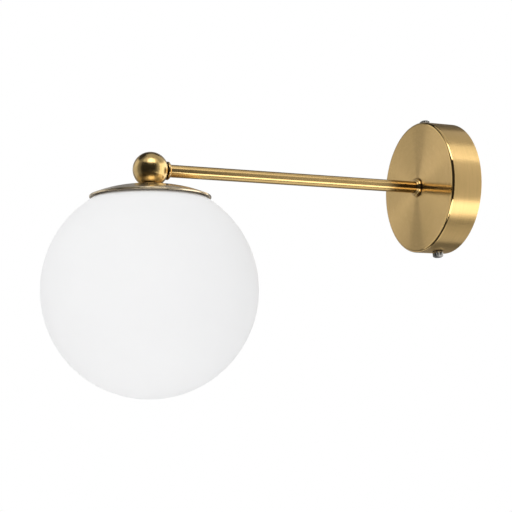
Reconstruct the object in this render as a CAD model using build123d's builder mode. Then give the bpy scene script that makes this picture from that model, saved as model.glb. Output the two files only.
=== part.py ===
"""Globe wall sconce: round wall canopy, straight arm, ball knuckle, shallow cap and an opal glass globe.

Frame: millimetres, +Z up, origin at the centre of the bracket's back face on the wall plane (y = 0).
The arm points out of the wall along -Y, and the lamp axis is the vertical line through the ball.
"""

import os
from math import asin, cos, pi, radians, sin, sqrt

from build123d import *

# ---------------------------------------------------------------- driving dimensions
# Wall canopy: a spun brass cup that hides the bracket
canopy_diameter = 100.0
canopy_depth = 25.0
canopy_wall = 1.2
canopy_edge_radius = 1.2
canopy_gap = 0.4  # between the canopy's inside and the bracket's tabs

# Wall bracket: a steel strap with two tapped tabs
strap_turn = 7.5  # degrees that the strap and its two thumb screws are turned about the arm
strap_width = 20.0
strap_thickness = 1.5
strap_bend_radius = 2.5
tab_past_screw = 5.5
wall_screw_circle = 70.0
wall_screw_hole = 4.5
cable_hole = 10.0
cable_hole_height = 24.0

# Thumb screws through the canopy's rim
thumb_thread = 4.0
thumb_height = 12.5  # from the wall to the screws' axis
thumb_head_diameter = 8.2
thumb_head_length = 4.0
thumb_flutes = 16
thumb_flute_depth = 0.45
thumb_rim_gap = 0.2
thumb_past_tab = 2.5
thumb_rim_clearance = 0.25  # between the shank and the hole in the canopy's rim
tab_collar = 2.2  # how far the drawn thread collar stands inside the tab
tab_collar_wall = 1.2

# Arm
arm_reach = 240.0  # wall plane to ball centre
rod_diameter = 9.0
rod_bore = 5.6
rod_thread = 8.0
rod_end_in_ball = 6.0  # the rod's end stops this far from the ball's centre
rod_end_chamfer = 0.4
wall_collar_diameter = 14.0
wall_collar_length = 3.4
wall_collar_step = 1.0
wall_collar_step_diameter = 11.6
wall_collar_bead_radius = 1.0
wall_collar_step_radius = 0.5
ball_collar_diameter = 13.0
ball_collar_length = 2.0
ball_collar_chamfer = 0.9

# Lock washers and nuts
washer_thickness = 0.8
washer_overhang = 3.4  # washer radius past the thread
washer_teeth = 10
washer_notch_width = 0.9
washer_notch_depth = 1.2
nut_bevel = 0.7
rod_nut_flats = 12.0
rod_nut_height = 3.5
rod_past_nut = 1.5
cap_nut_flats = 14.0
cap_nut_height = 3.0

# Ball knuckle
ball_diameter = 25.0
ball_seat_drop = 11.2  # ball centre down to the flat that sits on the cap
ball_collar_flat = 9.0  # diameter of the spot face under the collar
ball_bore_past_centre = 3.0

# Hollow nipple that ties the ball, cap, glass holder and lampholder together
nipple_thread = 10.0
nipple_bore = 7.0
nipple_top_drop = 5.0  # ball centre down to the nipple's upper end
nipple_short = 1.0  # the nipple stops this far short of the lampholder's entry

# Cap over the globe: a shallow spun dish with a short turned-down lip
cap_diameter = 84.8
cap_flat_diameter = 12.0
cap_curve_radius = 91.0
cap_wall = 1.0
cap_lip = 1.2
cap_shoulder_radius = 0.8

# Glass holder: a dished spider with three riveted spring clips
holder_count = 3
holder_thickness = 1.0
holder_hub_diameter = 24.0
holder_arm_width = 10.0
holder_arm_reach = 28.0
holder_root_radius = 3.0
holder_start_angle = 90.0  # the first arm points at the wall
clip_width = 7.0
clip_thickness = 0.5
clip_root = 3.5
clip_shelf = 5.3
clip_neck = 1.6
clip_flank = 4.5
clip_flank_angle = 32.0  # degrees from the vertical
clip_return = 9.0
clip_return_angle = 34.0
clip_bend_radius = 0.9
rivet_reach = 24.0
rivet_diameter = 3.0
rivet_head_diameter = 4.8
rivet_head_height = 0.9
rivet_head_taper = 25.0

# Opal glass globe
globe_diameter = 150.0
globe_wall = 2.2
globe_opening = 66.0
globe_edge_break = 0.3

# Lampholder, E14 candle size, hung under the cap's nut
holder_neck_diameter = 14.0
holder_body_diameter = 28.0
holder_neck_length = 4.0
holder_cone_length = 6.0
holder_cap_length = 22.0
holder_skirt_length = 26.0
holder_wall = 1.7
holder_entry_length = 7.0
holder_cap_edge_radius = 1.7
spigot_length = 5.0
spigot_wall = 1.4
skirt_bore = 16.4
skirt_taper = 0.5
skirt_edge_radius = 1.0
insert_length = 8.0
insert_chamfer = 0.6
insert_recess = 3.0  # spigot's joint line up to the insert's top
terminal_width = 4.5
terminal_depth = 5.0
terminal_height = 5.0
terminal_spread = 5.5
terminal_hole = 2.6
shell_wall = 0.35
shell_length = 17.0
shell_top_hole = 8.4
contact_post_diameter = 2.4
contact_leaf_diameter = 6.0
contact_leaf_thickness = 0.6
contact_drop = 2.0

# Golf-ball bulb, 45 mm by 78 mm, with an E14 cap
bulb_diameter = 45.0
bulb_length = 78.0
bulb_cap_diameter = 13.8
bulb_cap_length = 17.0
bulb_insulator_length = 3.2
bulb_contact_diameter = 5.0
bulb_contact_length = 1.0
bulb_contact_round = 0.6
bulb_collar_diameter = 22.0
bulb_collar_length = 9.0
bulb_glass_wall = 1.0
bulb_flare_angle = 30.0  # how far above its middle the ball turns into the flare
bulb_cap_wall = 0.5
bulb_cap_taper = 0.9
bulb_collar_wall = 1.5
bulb_contact_gap = 0.3

# Terminal block, three poles, screwed to the strap
pole_count = 3
pole_pitch = 9.0
block_length = 16.0
block_height = 13.0
block_web_height = 7.0
block_centre_drop = 19.0
block_barrel_width = 7.2
block_corner_radius = 1.0
pole_axis_height = 7.0
pole_diameter = 4.4
pole_bore = 2.8
pole_length = 14.0
pole_screw_diameter = 2.8
pole_screw_length = 3.8
pole_screw_spacing = 7.0
block_screw_diameter = 2.6
block_screw_head = 4.2
block_screw_head_height = 1.6
screw_slot_width = 0.6
screw_slot_depth = 0.8

# Earth terminal on the strap
earth_height = 11.0
earth_thread = 4.0
earth_head_diameter = 7.6
earth_head_height = 2.4
earth_head_radius = 1.0
earth_slot_length = 4.6
earth_washer_diameter = 9.0
earth_washer_thickness = 0.8
earth_tag_diameter = 8.4
earth_tag_thickness = 0.8
earth_tag_barrel = 4.0
earth_tag_barrel_length = 5.0
earth_tag_strip = 2.4
earth_tag_neck = 7.0  # screw axis to the start of the tag's barrel

# Wires
wire_diameter = 2.0
wire_spread = 1.3  # half the distance between the two lamp wires inside the rod
wire_bend_radius = 5.0
wire_small_bend = 3.5
wire_tuck = 4.0  # length of wire inside a terminal
wire_turn_height = 9.5  # wall to the lamp wires' turn into the rod
wire_block_lead = 2.0  # straight wire past a terminal block or tag
wire_terminal_lead = 2.0  # straight wire above a lampholder terminal

# Clearances
thread_gap = 0.05
slip_gap = 0.1
glass_gap = 0.3
globe_seat_gap = 0.4  # cap's underside down to the globe's opening edge
clip_gap = 0.2

# ---------------------------------------------------------------- places worked out from the sizes
canopy_radius = canopy_diameter / 2
canopy_inner_radius = canopy_radius - canopy_wall
ball_radius = ball_diameter / 2
globe_radius = globe_diameter / 2
globe_inner_radius = globe_radius - globe_wall
globe_opening_radius = globe_opening / 2

collar_seat = sqrt(ball_radius**2 - (ball_collar_flat / 2) ** 2)  # ball centre to the collar's flat
rod_start = canopy_depth + wall_collar_length
rod_finish = arm_reach - collar_seat - ball_collar_length
canopy_inside = canopy_depth - canopy_wall
rod_nut_front = canopy_inside - washer_thickness
rod_end = rod_nut_front - rod_nut_height - rod_past_nut

cap_top = -ball_seat_drop
cap_radius = cap_diameter / 2
cap_flat_radius = cap_flat_diameter / 2
cap_under = cap_top - cap_wall
holder_gap = thread_gap
holder_top = cap_under - holder_gap
washer_top = holder_top - holder_thickness - holder_gap
cap_nut_top = washer_top - washer_thickness
lampholder_top = cap_nut_top - cap_nut_height
entry_bottom = lampholder_top - holder_entry_length
nipple_bottom = entry_bottom + nipple_short
joint_line = lampholder_top - holder_cap_length
skirt_bottom = joint_line - holder_skirt_length
insert_top = joint_line + insert_recess
insert_bottom = insert_top - insert_length
shell_bottom = insert_bottom - shell_length
contact_leaf_bottom = insert_bottom - contact_drop - contact_leaf_thickness
bulb_top = contact_leaf_bottom - bulb_contact_gap
bulb_bottom = bulb_top - bulb_length
bulb_cap_top = bulb_top - bulb_contact_length - bulb_insulator_length
bulb_cap_bottom = bulb_cap_top - bulb_cap_length
shell_bore_radius = bulb_cap_diameter / 2 + slip_gap

# Axes and working planes. Arm planes: local x is +X, local y runs out from the wall.
arm_axis = Axis((0, 0, 0), (0, -1, 0))
arm_profile = Plane(origin=(0, 0, 0), x_dir=(1, 0, 0), z_dir=(0, 0, -1))
lamp_centre = (0, -arm_reach, 0)
lamp_axis = Axis(lamp_centre, (0, 0, 1))
lamp_profile = Plane(origin=lamp_centre, x_dir=(1, 0, 0), z_dir=(0, -1, 0))

# Strap planes: "across" is the strap's width, "along" its length, and both lie in the wall plane.
across = Vector(cos(radians(strap_turn)), 0, sin(radians(strap_turn)))
along = Vector(-sin(radians(strap_turn)), 0, cos(radians(strap_turn)))
strap_face = Plane(origin=(0, 0, 0), x_dir=across, z_dir=(0, -1, 0))
strap_side = Plane(origin=(0, 0, 0), x_dir=along, z_dir=across)
tab_face = sqrt((canopy_inner_radius - canopy_gap) ** 2 - (strap_width / 2) ** 2)


def radial_plane(angle):
    """Upright plane through the lamp axis: local x points out at this angle, local y is +Z."""
    outward = Vector(cos(radians(angle)), sin(radians(angle)), 0)
    return Plane(origin=lamp_centre, x_dir=outward, z_dir=outward.cross(Vector(0, 0, 1)))


def cap_height(radius, depth):
    """Height of the surface that lies this deep under the cap's dome, at this radius."""
    if radius <= cap_flat_radius:
        return cap_top - depth
    curve = cap_curve_radius - depth
    return cap_top - cap_curve_radius + sqrt(curve**2 - (radius - cap_flat_radius) ** 2)


# The globe hangs with the rim of its opening just under the cap: ball centre down to its own centre.
globe_drop = (
    sqrt(globe_radius**2 - globe_opening_radius**2)
    + globe_seat_gap
    - cap_height(globe_opening_radius, cap_wall)
)


def ring_plane(centre, out_direction):
    """Plane across an axis, for washers, nuts and screws that are drawn as circles."""
    return Plane(origin=centre, z_dir=out_direction)


def toothed_washer(thread, plane):
    """Lock washer with teeth round its rim, standing on the plane."""
    outer = thread / 2 + washer_overhang
    with BuildPart() as washer:
        with BuildSketch(plane):
            Circle(outer)
            Circle(thread / 2 + slip_gap, mode=Mode.SUBTRACT)
            with PolarLocations(outer, washer_teeth):
                Rectangle(2 * washer_notch_depth, washer_notch_width, mode=Mode.SUBTRACT)
        extrude(amount=washer_thickness)
    return washer.part


def hex_nut(thread, flats, height, plane):
    """Thin hexagon nut, bevelled on both faces, standing on the plane."""
    corner = flats / 2 / cos(pi / 6)
    with BuildPart() as nut:
        with BuildSketch(plane):
            RegularPolygon(flats / 2, 6, major_radius=False)
        extrude(amount=height)
        with BuildPart(mode=Mode.INTERSECT):
            with BuildSketch(plane):
                Circle(corner)
            extrude(amount=height)
            chamfer(edges().filter_by(GeomType.CIRCLE), nut_bevel)
        with BuildSketch(plane):
            Circle(thread / 2 + thread_gap)
        extrude(amount=height, mode=Mode.SUBTRACT)
    return nut.part


# ---------------------------------------------------------------- wall canopy and bracket
with BuildPart() as canopy_cover:
    with BuildSketch(arm_profile):
        with BuildLine():
            Polyline(
                (rod_thread / 2 + slip_gap, canopy_depth),
                (canopy_radius, canopy_depth),
                (canopy_radius, 0),
                (canopy_inner_radius, 0),
                (canopy_inner_radius, canopy_inside),
                (rod_thread / 2 + slip_gap, canopy_inside),
                close=True,
            )
        make_face()
        rim_corner = vertices().group_by(Axis.Y)[-1].sort_by(Axis.X)[-1]
        fillet(rim_corner, canopy_edge_radius)
    revolve(axis=arm_axis)
    with BuildSketch(Plane(origin=(0, -thumb_height, 0), z_dir=along)):
        Circle(thumb_thread / 2 + thumb_rim_clearance)
    extrude(amount=canopy_radius, both=True, mode=Mode.SUBTRACT)

tab_top = thumb_height + tab_past_screw
with BuildPart() as wall_bracket:
    with BuildSketch(strap_side):
        with BuildLine():
            Polyline(
                (-tab_face, 0),
                (tab_face, 0),
                (tab_face, tab_top),
                (tab_face - strap_thickness, tab_top),
                (tab_face - strap_thickness, strap_thickness),
                (strap_thickness - tab_face, strap_thickness),
                (strap_thickness - tab_face, tab_top),
                (-tab_face, tab_top),
                close=True,
            )
        make_face()
    extrude(amount=strap_width / 2, both=True)
    bend_line = Axis(origin=(0, 0, 0), direction=across)
    fillet(edges().filter_by(bend_line).group_by(Axis.Y)[-2], strap_bend_radius - strap_thickness)
    fillet(edges().filter_by(bend_line).group_by(Axis.Y)[-1], strap_bend_radius)
    with BuildSketch(strap_face):
        with PolarLocations(wall_screw_circle / 2, 2, start_angle=90):
            Circle(wall_screw_hole / 2)
        with Locations((0, cable_hole_height)):
            Circle(cable_hole / 2)
        with Locations((0, earth_height)):
            Circle(earth_thread / 2 + thread_gap)
        with GridLocations(pole_pitch, 1, pole_count - 1, 1):
            with Locations((0, -block_centre_drop)):
                Circle(block_screw_diameter / 2 + thread_gap)
    extrude(amount=strap_thickness, mode=Mode.SUBTRACT)
    for side in (1, -1):
        tab_inside = Plane(
            origin=along * side * (tab_face - strap_thickness) + Vector(0, -thumb_height, 0),
            z_dir=along * -side,
        )
        with BuildSketch(tab_inside):
            Circle(thumb_thread / 2 + tab_collar_wall)
        extrude(amount=tab_collar)
        with BuildSketch(tab_inside):
            Circle(thumb_thread / 2)
        extrude(amount=tab_collar, mode=Mode.SUBTRACT)
        with BuildSketch(tab_inside):
            Circle(thumb_thread / 2)
        extrude(amount=-strap_thickness, mode=Mode.SUBTRACT)


def thumb_screw(side):
    """Knurled thumb screw: head outside the canopy's rim, shank down into the bracket's tab."""
    direction = along * side
    head_base = Plane(
        origin=direction * (canopy_radius + thumb_rim_gap) + Vector(0, -thumb_height, 0),
        x_dir=across,
        z_dir=direction,
    )
    shank = canopy_radius + thumb_rim_gap - (tab_face - strap_thickness - tab_collar) + thumb_past_tab
    with BuildPart() as screw:
        with BuildSketch(head_base):
            Circle(thumb_head_diameter / 2)
            with PolarLocations(thumb_head_diameter / 2, thumb_flutes):
                Circle(thumb_flute_depth, mode=Mode.SUBTRACT)
        extrude(amount=thumb_head_length)
        with BuildSketch(head_base.offset(thumb_head_length)):
            Circle(thumb_head_diameter / 2 - 2 * thumb_flute_depth)
        extrude(amount=thumb_flute_depth)
        with BuildSketch(head_base):
            Circle(thumb_thread / 2 - thread_gap)
        extrude(amount=-shank)
    return screw.part


thumb_screw_top = thumb_screw(1)
thumb_screw_bottom = thumb_screw(-1)

# ---------------------------------------------------------------- arm
with BuildPart() as wall_collar:
    with BuildSketch(arm_profile):
        with BuildLine():
            bore = rod_thread / 2 + slip_gap
            shoulder = rod_start - wall_collar_step
            Polyline(
                (bore, canopy_depth),
                (wall_collar_diameter / 2, canopy_depth),
                (wall_collar_diameter / 2, shoulder),
                (wall_collar_step_diameter / 2, shoulder),
                (wall_collar_step_diameter / 2, rod_start),
                (bore, rod_start),
                close=True,
            )
        make_face()
        bead = vertices().group_by(Axis.X)[-1]
        fillet(bead, wall_collar_bead_radius)
        step_edge = vertices().filter_by_position(
            Axis.X,
            wall_collar_step_diameter / 2 - slip_gap,
            wall_collar_step_diameter / 2 + slip_gap,
        ).sort_by(Axis.Y)[-1]
        fillet(step_edge, wall_collar_step_radius)
    revolve(axis=arm_axis)

with BuildPart() as arm_rod:
    with BuildSketch(arm_profile):
        with BuildLine():
            Polyline(
                (rod_bore / 2, rod_end),
                (rod_thread / 2 - rod_end_chamfer, rod_end),
                (rod_thread / 2, rod_end + rod_end_chamfer),
                (rod_thread / 2, rod_start),
                (rod_diameter / 2, rod_start),
                (rod_diameter / 2, rod_finish),
                (rod_thread / 2, rod_finish),
                (rod_thread / 2, arm_reach - rod_end_in_ball - rod_end_chamfer),
                (rod_thread / 2 - rod_end_chamfer, arm_reach - rod_end_in_ball),
                (rod_bore / 2, arm_reach - rod_end_in_ball),
                close=True,
            )
        make_face()
    revolve(axis=arm_axis)

rod_lock_washer = toothed_washer(rod_thread, ring_plane((0, -canopy_inside, 0), (0, 1, 0)))
rod_nut = hex_nut(rod_thread, rod_nut_flats, rod_nut_height, ring_plane((0, -rod_nut_front, 0), (0, 1, 0)))

with BuildPart() as ball_collar:
    with BuildSketch(arm_profile):
        with BuildLine():
            bore = rod_thread / 2 + slip_gap
            Polyline(
                (bore, rod_finish),
                (ball_collar_diameter / 2 - ball_collar_chamfer, rod_finish),
                (ball_collar_diameter / 2, rod_finish + ball_collar_chamfer),
                (ball_collar_diameter / 2, rod_finish + ball_collar_length),
                (bore, rod_finish + ball_collar_length),
                close=True,
            )
        make_face()
    revolve(axis=arm_axis)

with BuildPart() as ball_knuckle:
    with Locations(lamp_centre):
        Sphere(ball_radius)
    split(bisect_by=Plane.XY.offset(cap_top), keep=Keep.TOP)
    split(bisect_by=Plane(origin=(0, collar_seat - arm_reach, 0), z_dir=(0, -1, 0)), keep=Keep.TOP)
    with BuildSketch(Plane(origin=(0, -arm_reach - ball_bore_past_centre, 0), z_dir=(0, 1, 0))):
        Circle(rod_thread / 2 + thread_gap)
    extrude(amount=ball_bore_past_centre + ball_radius, mode=Mode.SUBTRACT)
    with BuildSketch(Plane(origin=(0, -arm_reach, ball_bore_past_centre), z_dir=(0, 0, -1))):
        Circle(nipple_thread / 2 + thread_gap)
    extrude(amount=ball_bore_past_centre + ball_radius, mode=Mode.SUBTRACT)

with BuildPart() as ball_nipple:
    with BuildSketch(Plane(origin=(0, -arm_reach, nipple_bottom))):
        Circle(nipple_thread / 2)
        Circle(nipple_bore / 2, mode=Mode.SUBTRACT)
    extrude(amount=-nipple_top_drop - nipple_bottom)

# ---------------------------------------------------------------- cap and glass holder
with BuildPart() as globe_cap:
    with BuildSketch(lamp_profile):
        with BuildLine():
            rim_z = cap_height(cap_radius, 0)
            inner_rim = cap_radius - cap_wall
            mid = (cap_flat_radius + cap_radius) / 2
            inner_mid = (cap_flat_radius + inner_rim) / 2
            hole = nipple_thread / 2 + slip_gap
            Line((hole, cap_top), (cap_flat_radius, cap_top))
            ThreePointArc(
                (cap_flat_radius, cap_top),
                (mid, cap_height(mid, 0)),
                (cap_radius, rim_z),
            )
            Polyline(
                (cap_radius, rim_z),
                (cap_radius, rim_z - cap_lip),
                (inner_rim, rim_z - cap_lip),
                (inner_rim, cap_height(inner_rim, cap_wall)),
            )
            ThreePointArc(
                (inner_rim, cap_height(inner_rim, cap_wall)),
                (inner_mid, cap_height(inner_mid, cap_wall)),
                (cap_flat_radius, cap_under),
            )
            Polyline((cap_flat_radius, cap_under), (hole, cap_under), (hole, cap_top))
        make_face()
        shoulder = vertices().group_by(Axis.X)[-1].sort_by(Axis.Y)[-1]
        fillet(shoulder, cap_shoulder_radius)
    revolve(axis=lamp_axis)

clip_angles = [holder_start_angle + 360 * index / holder_count for index in range(holder_count)]
rivet_tilt = asin((rivet_reach - cap_flat_radius) / cap_curve_radius)


def under_dome(depth):
    """Point at the rivet, this deep under the cap's dome, as radius and height."""
    curve = cap_curve_radius - depth
    return (
        cap_flat_radius + curve * sin(rivet_tilt),
        cap_top - cap_curve_radius + curve * cos(rivet_tilt),
    )


def rivet_plane(angle, depth):
    """Plane at a rivet, square to the dome, this deep under it, facing up."""
    base = radial_plane(angle)
    reach, height = under_dome(depth)
    up = base.x_dir * sin(rivet_tilt) + Vector(0, 0, 1) * cos(rivet_tilt)
    return Plane(origin=base.from_local_coords((reach, height, 0)), z_dir=up)


holder_depth = cap_wall + holder_gap
with BuildPart() as glass_holder:
    with BuildSketch(lamp_profile):
        with BuildLine():
            hole = nipple_thread / 2 + slip_gap
            low = holder_depth + holder_thickness
            mid = (cap_flat_radius + holder_arm_reach) / 2
            Line((hole, holder_top), (cap_flat_radius, holder_top))
            ThreePointArc(
                (cap_flat_radius, holder_top),
                (mid, cap_height(mid, holder_depth)),
                (holder_arm_reach, cap_height(holder_arm_reach, holder_depth)),
            )
            Line(
                (holder_arm_reach, cap_height(holder_arm_reach, holder_depth)),
                (holder_arm_reach, cap_height(holder_arm_reach, low)),
            )
            ThreePointArc(
                (holder_arm_reach, cap_height(holder_arm_reach, low)),
                (mid, cap_height(mid, low)),
                (cap_flat_radius, cap_top - low),
            )
            Polyline((cap_flat_radius, cap_top - low), (hole, cap_top - low), (hole, holder_top))
        make_face()
    revolve(axis=lamp_axis)
    with BuildSketch(Plane(origin=(0, -arm_reach, cap_top))):
        Circle(holder_hub_diameter / 2)
        with PolarLocations(0, holder_count, start_angle=holder_start_angle):
            with Locations((holder_arm_reach / 2, 0)):
                Rectangle(holder_arm_reach, holder_arm_width)
        fillet(vertices().group_by(SortBy.DISTANCE)[0], holder_root_radius)
    extrude(amount=-cap_diameter, mode=Mode.INTERSECT)
    for angle in clip_angles:
        with BuildSketch(rivet_plane(angle, 0)):
            Circle(rivet_diameter / 2 + slip_gap)
        extrude(amount=-holder_depth - 2 * holder_thickness, mode=Mode.SUBTRACT)

# A clip lies under the holder's arm, drops through the glass opening and springs out under its edge.
glass_edge = (
    sqrt(globe_opening_radius**2 - (clip_width / 2) ** 2),
    sqrt(globe_inner_radius**2 - globe_opening_radius**2) - globe_drop,
)
clip_depth = holder_depth + holder_thickness + clip_gap + clip_thickness / 2
root_reach, root_height = under_dome(clip_depth)
flank = (sin(radians(clip_flank_angle)), -cos(radians(clip_flank_angle)))
flank_gap = glass_gap + clip_thickness / 2
nearest = (glass_edge[0] + flank[1] * flank_gap, glass_edge[1] - flank[0] * flank_gap)
kink = (nearest[0] + flank[0] * clip_flank, nearest[1] + flank[1] * clip_flank)
clip_points = [
    (root_reach - clip_root * cos(rivet_tilt), root_height + clip_root * sin(rivet_tilt)),
    (root_reach + clip_shelf * cos(rivet_tilt), root_height - clip_shelf * sin(rivet_tilt)),
    (nearest[0] - flank[0] * clip_neck, nearest[1] - flank[1] * clip_neck),
    kink,
    (
        kink[0] - clip_return * sin(radians(clip_return_angle)),
        kink[1] - clip_return * cos(radians(clip_return_angle)),
    ),
]

with BuildPart() as glass_clips:
    for angle in clip_angles:
        with BuildSketch(radial_plane(angle)):
            with BuildLine():
                FilletPolyline(*clip_points, radius=clip_bend_radius)
            trace(line_width=clip_thickness)
        extrude(amount=clip_width / 2, both=True)
    for angle in clip_angles:
        with BuildSketch(rivet_plane(angle, clip_depth)):
            Circle(rivet_diameter / 2 + slip_gap)
        extrude(amount=clip_thickness, both=True, mode=Mode.SUBTRACT)

rivet_length = clip_depth + clip_thickness / 2 - holder_depth
with BuildPart() as clip_rivets:
    for angle in clip_angles:
        with BuildSketch(rivet_plane(angle, holder_depth)):
            Circle(rivet_diameter / 2)
        extrude(amount=-rivet_length)
        with BuildSketch(rivet_plane(angle, holder_depth + rivet_length)):
            Circle(rivet_head_diameter / 2)
        extrude(amount=-rivet_head_height, taper=rivet_head_taper)

cap_lock_washer = toothed_washer(
    nipple_thread, ring_plane((0, -arm_reach, washer_top), (0, 0, -1))
)
cap_nut = hex_nut(
    nipple_thread, cap_nut_flats, cap_nut_height, ring_plane((0, -arm_reach, cap_nut_top), (0, 0, -1))
)

# ---------------------------------------------------------------- globe
with BuildPart() as globe_glass:
    with Locations((0, -arm_reach, -globe_drop)):
        Sphere(globe_radius)
        Sphere(globe_inner_radius, mode=Mode.SUBTRACT)
    with BuildSketch(Plane(origin=(0, -arm_reach, -globe_drop))):
        Circle(globe_opening_radius)
    extrude(amount=globe_radius, mode=Mode.SUBTRACT)
    opening_edges = edges().filter_by(GeomType.CIRCLE).group_by(Axis.Z)
    chamfer(opening_edges[-1], globe_edge_break)

# ---------------------------------------------------------------- lampholder
body_radius = holder_body_diameter / 2
with BuildPart() as lampholder_cap:
    with BuildSketch(lamp_profile):
        with BuildLine():
            cone_top = lampholder_top - holder_neck_length
            cone_bottom = cone_top - holder_cone_length
            entry_radius = nipple_thread / 2 + thread_gap
            Polyline(
                (entry_radius, lampholder_top),
                (holder_neck_diameter / 2, lampholder_top),
                (holder_neck_diameter / 2, cone_top),
                (body_radius, cone_bottom),
                (body_radius, joint_line),
                (body_radius - holder_wall, joint_line),
                (body_radius - holder_wall, cone_bottom - holder_wall / 2),
                (holder_neck_diameter / 2, entry_bottom),
                (entry_radius, entry_bottom),
                close=True,
            )
        make_face()
        rounded = vertices().group_by(Axis.X)[-1].sort_by(Axis.Y)[-1]
        fillet(rounded, holder_cap_edge_radius)
    revolve(axis=lamp_axis)

spigot_radius = body_radius - holder_wall - slip_gap
insert_radius = spigot_radius - spigot_wall - slip_gap
with BuildPart() as lampholder_skirt:
    with BuildSketch(lamp_profile):
        with BuildLine():
            Polyline(
                (spigot_radius, joint_line + spigot_length),
                (spigot_radius, joint_line),
                (body_radius, joint_line),
                (body_radius - skirt_taper, skirt_bottom),
                (skirt_bore / 2, skirt_bottom),
                (skirt_bore / 2, insert_bottom),
                (spigot_radius - spigot_wall, insert_bottom),
                (spigot_radius - spigot_wall, joint_line + spigot_length),
                close=True,
            )
        make_face()
        mouth = vertices().group_by(Axis.Y)[0].sort_by(Axis.X)[-1]
        fillet(mouth, skirt_edge_radius)
    revolve(axis=lamp_axis)

with BuildPart() as lampholder_insert:
    with BuildSketch(Plane(origin=(0, -arm_reach, insert_bottom))):
        Circle(insert_radius)
    extrude(amount=insert_length)
    with BuildSketch(Plane(origin=(0, -arm_reach, insert_bottom))):
        Circle(contact_post_diameter / 2 + thread_gap)
    extrude(amount=insert_length / 2, mode=Mode.SUBTRACT)
    chamfer(edges().filter_by(GeomType.CIRCLE).group_by(Axis.Z)[-1], insert_chamfer)

with BuildPart() as lampholder_terminals:
    with BuildSketch(Plane(origin=(0, -arm_reach, insert_top))):
        with GridLocations(2 * terminal_spread, 1, 2, 1):
            Rectangle(terminal_width, terminal_depth)
            Circle(terminal_hole / 2, mode=Mode.SUBTRACT)
    extrude(amount=terminal_height)

with BuildPart() as lampholder_thread_shell:
    with BuildSketch(lamp_profile):
        with BuildLine():
            shell_outer = shell_bore_radius + shell_wall
            Polyline(
                (shell_top_hole / 2, insert_bottom),
                (shell_outer, insert_bottom),
                (shell_outer, shell_bottom),
                (shell_bore_radius, shell_bottom),
                (shell_bore_radius, insert_bottom - shell_wall),
                (shell_top_hole / 2, insert_bottom - shell_wall),
                close=True,
            )
        make_face()
    revolve(axis=lamp_axis)

with BuildPart() as lampholder_contact:
    with BuildSketch(Plane(origin=(0, -arm_reach, contact_leaf_bottom))):
        Circle(contact_leaf_diameter / 2)
    extrude(amount=contact_leaf_thickness)
    with BuildSketch(Plane(origin=(0, -arm_reach, contact_leaf_bottom))):
        Circle(contact_post_diameter / 2)
    extrude(amount=contact_leaf_thickness + contact_drop + insert_length / 2 - thread_gap)

# ---------------------------------------------------------------- bulb
bulb_radius = bulb_diameter / 2
bulb_cap_radius = bulb_cap_diameter / 2
bulb_sphere_z = bulb_bottom + bulb_radius
with BuildPart() as bulb_contact:
    with BuildSketch(Plane(origin=(0, -arm_reach, bulb_top))):
        Circle(bulb_contact_diameter / 2)
    extrude(amount=-bulb_contact_length)
    fillet(edges().group_by(Axis.Z)[-1], bulb_contact_round)

with BuildPart() as bulb_insulator:
    with BuildSketch(lamp_profile):
        with BuildLine():
            insulator_top = bulb_top - bulb_contact_length
            Polyline(
                (0, insulator_top),
                (bulb_contact_diameter / 2 + slip_gap, insulator_top),
                (bulb_cap_radius - bulb_cap_taper, bulb_cap_top),
                (0, bulb_cap_top),
                close=True,
            )
        make_face()
    revolve(axis=lamp_axis)

with BuildPart() as bulb_cap:
    with BuildSketch(lamp_profile):
        with BuildLine():
            neck_radius = bulb_cap_radius - bulb_cap_taper
            Polyline(
                (bulb_contact_diameter / 2, bulb_cap_top),
                (neck_radius, bulb_cap_top),
                (bulb_cap_radius, bulb_cap_top - 2 * bulb_cap_taper),
                (bulb_cap_radius, bulb_cap_bottom),
                (bulb_cap_radius - bulb_cap_wall, bulb_cap_bottom),
                (bulb_cap_radius - bulb_cap_wall, bulb_cap_top - 2 * bulb_cap_taper),
                (neck_radius - bulb_cap_wall, bulb_cap_top - bulb_cap_wall),
                (bulb_contact_diameter / 2, bulb_cap_top - bulb_cap_wall),
                close=True,
            )
        make_face()
    revolve(axis=lamp_axis)

with BuildPart() as bulb_collar:
    with BuildSketch(lamp_profile):
        with BuildLine():
            Polyline(
                (bulb_cap_radius - bulb_collar_wall, bulb_cap_bottom),
                (bulb_cap_radius + slip_gap, bulb_cap_bottom),
                (bulb_collar_diameter / 2, bulb_cap_bottom - bulb_collar_length),
                (bulb_collar_diameter / 2 - bulb_collar_wall, bulb_cap_bottom - bulb_collar_length),
                close=True,
            )
        make_face()
    revolve(axis=lamp_axis)

# The envelope is an open shell: a ball, and a flare from the ball up to the collar.
collar_bottom = bulb_cap_bottom - bulb_collar_length
flare_radius = bulb_collar_diameter / 2
flare_angle = radians(bulb_flare_angle)
ball_join = (bulb_radius * cos(flare_angle), bulb_sphere_z + bulb_radius * sin(flare_angle))
inner_ball_radius = bulb_radius - bulb_glass_wall
inner_join = (
    inner_ball_radius * cos(flare_angle),
    bulb_sphere_z + inner_ball_radius * sin(flare_angle),
)
with BuildPart() as bulb_envelope:
    with BuildSketch(lamp_profile):
        with BuildLine():
            ThreePointArc((0, bulb_bottom), (bulb_radius, bulb_sphere_z), ball_join)
            Polyline(
                ball_join,
                (flare_radius, collar_bottom),
                (flare_radius - bulb_glass_wall, collar_bottom),
                inner_join,
            )
            ThreePointArc(
                inner_join, (inner_ball_radius, bulb_sphere_z), (0, bulb_bottom + bulb_glass_wall)
            )
            Line((0, bulb_bottom + bulb_glass_wall), (0, bulb_bottom))
        make_face()
    revolve(axis=lamp_axis)

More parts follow.
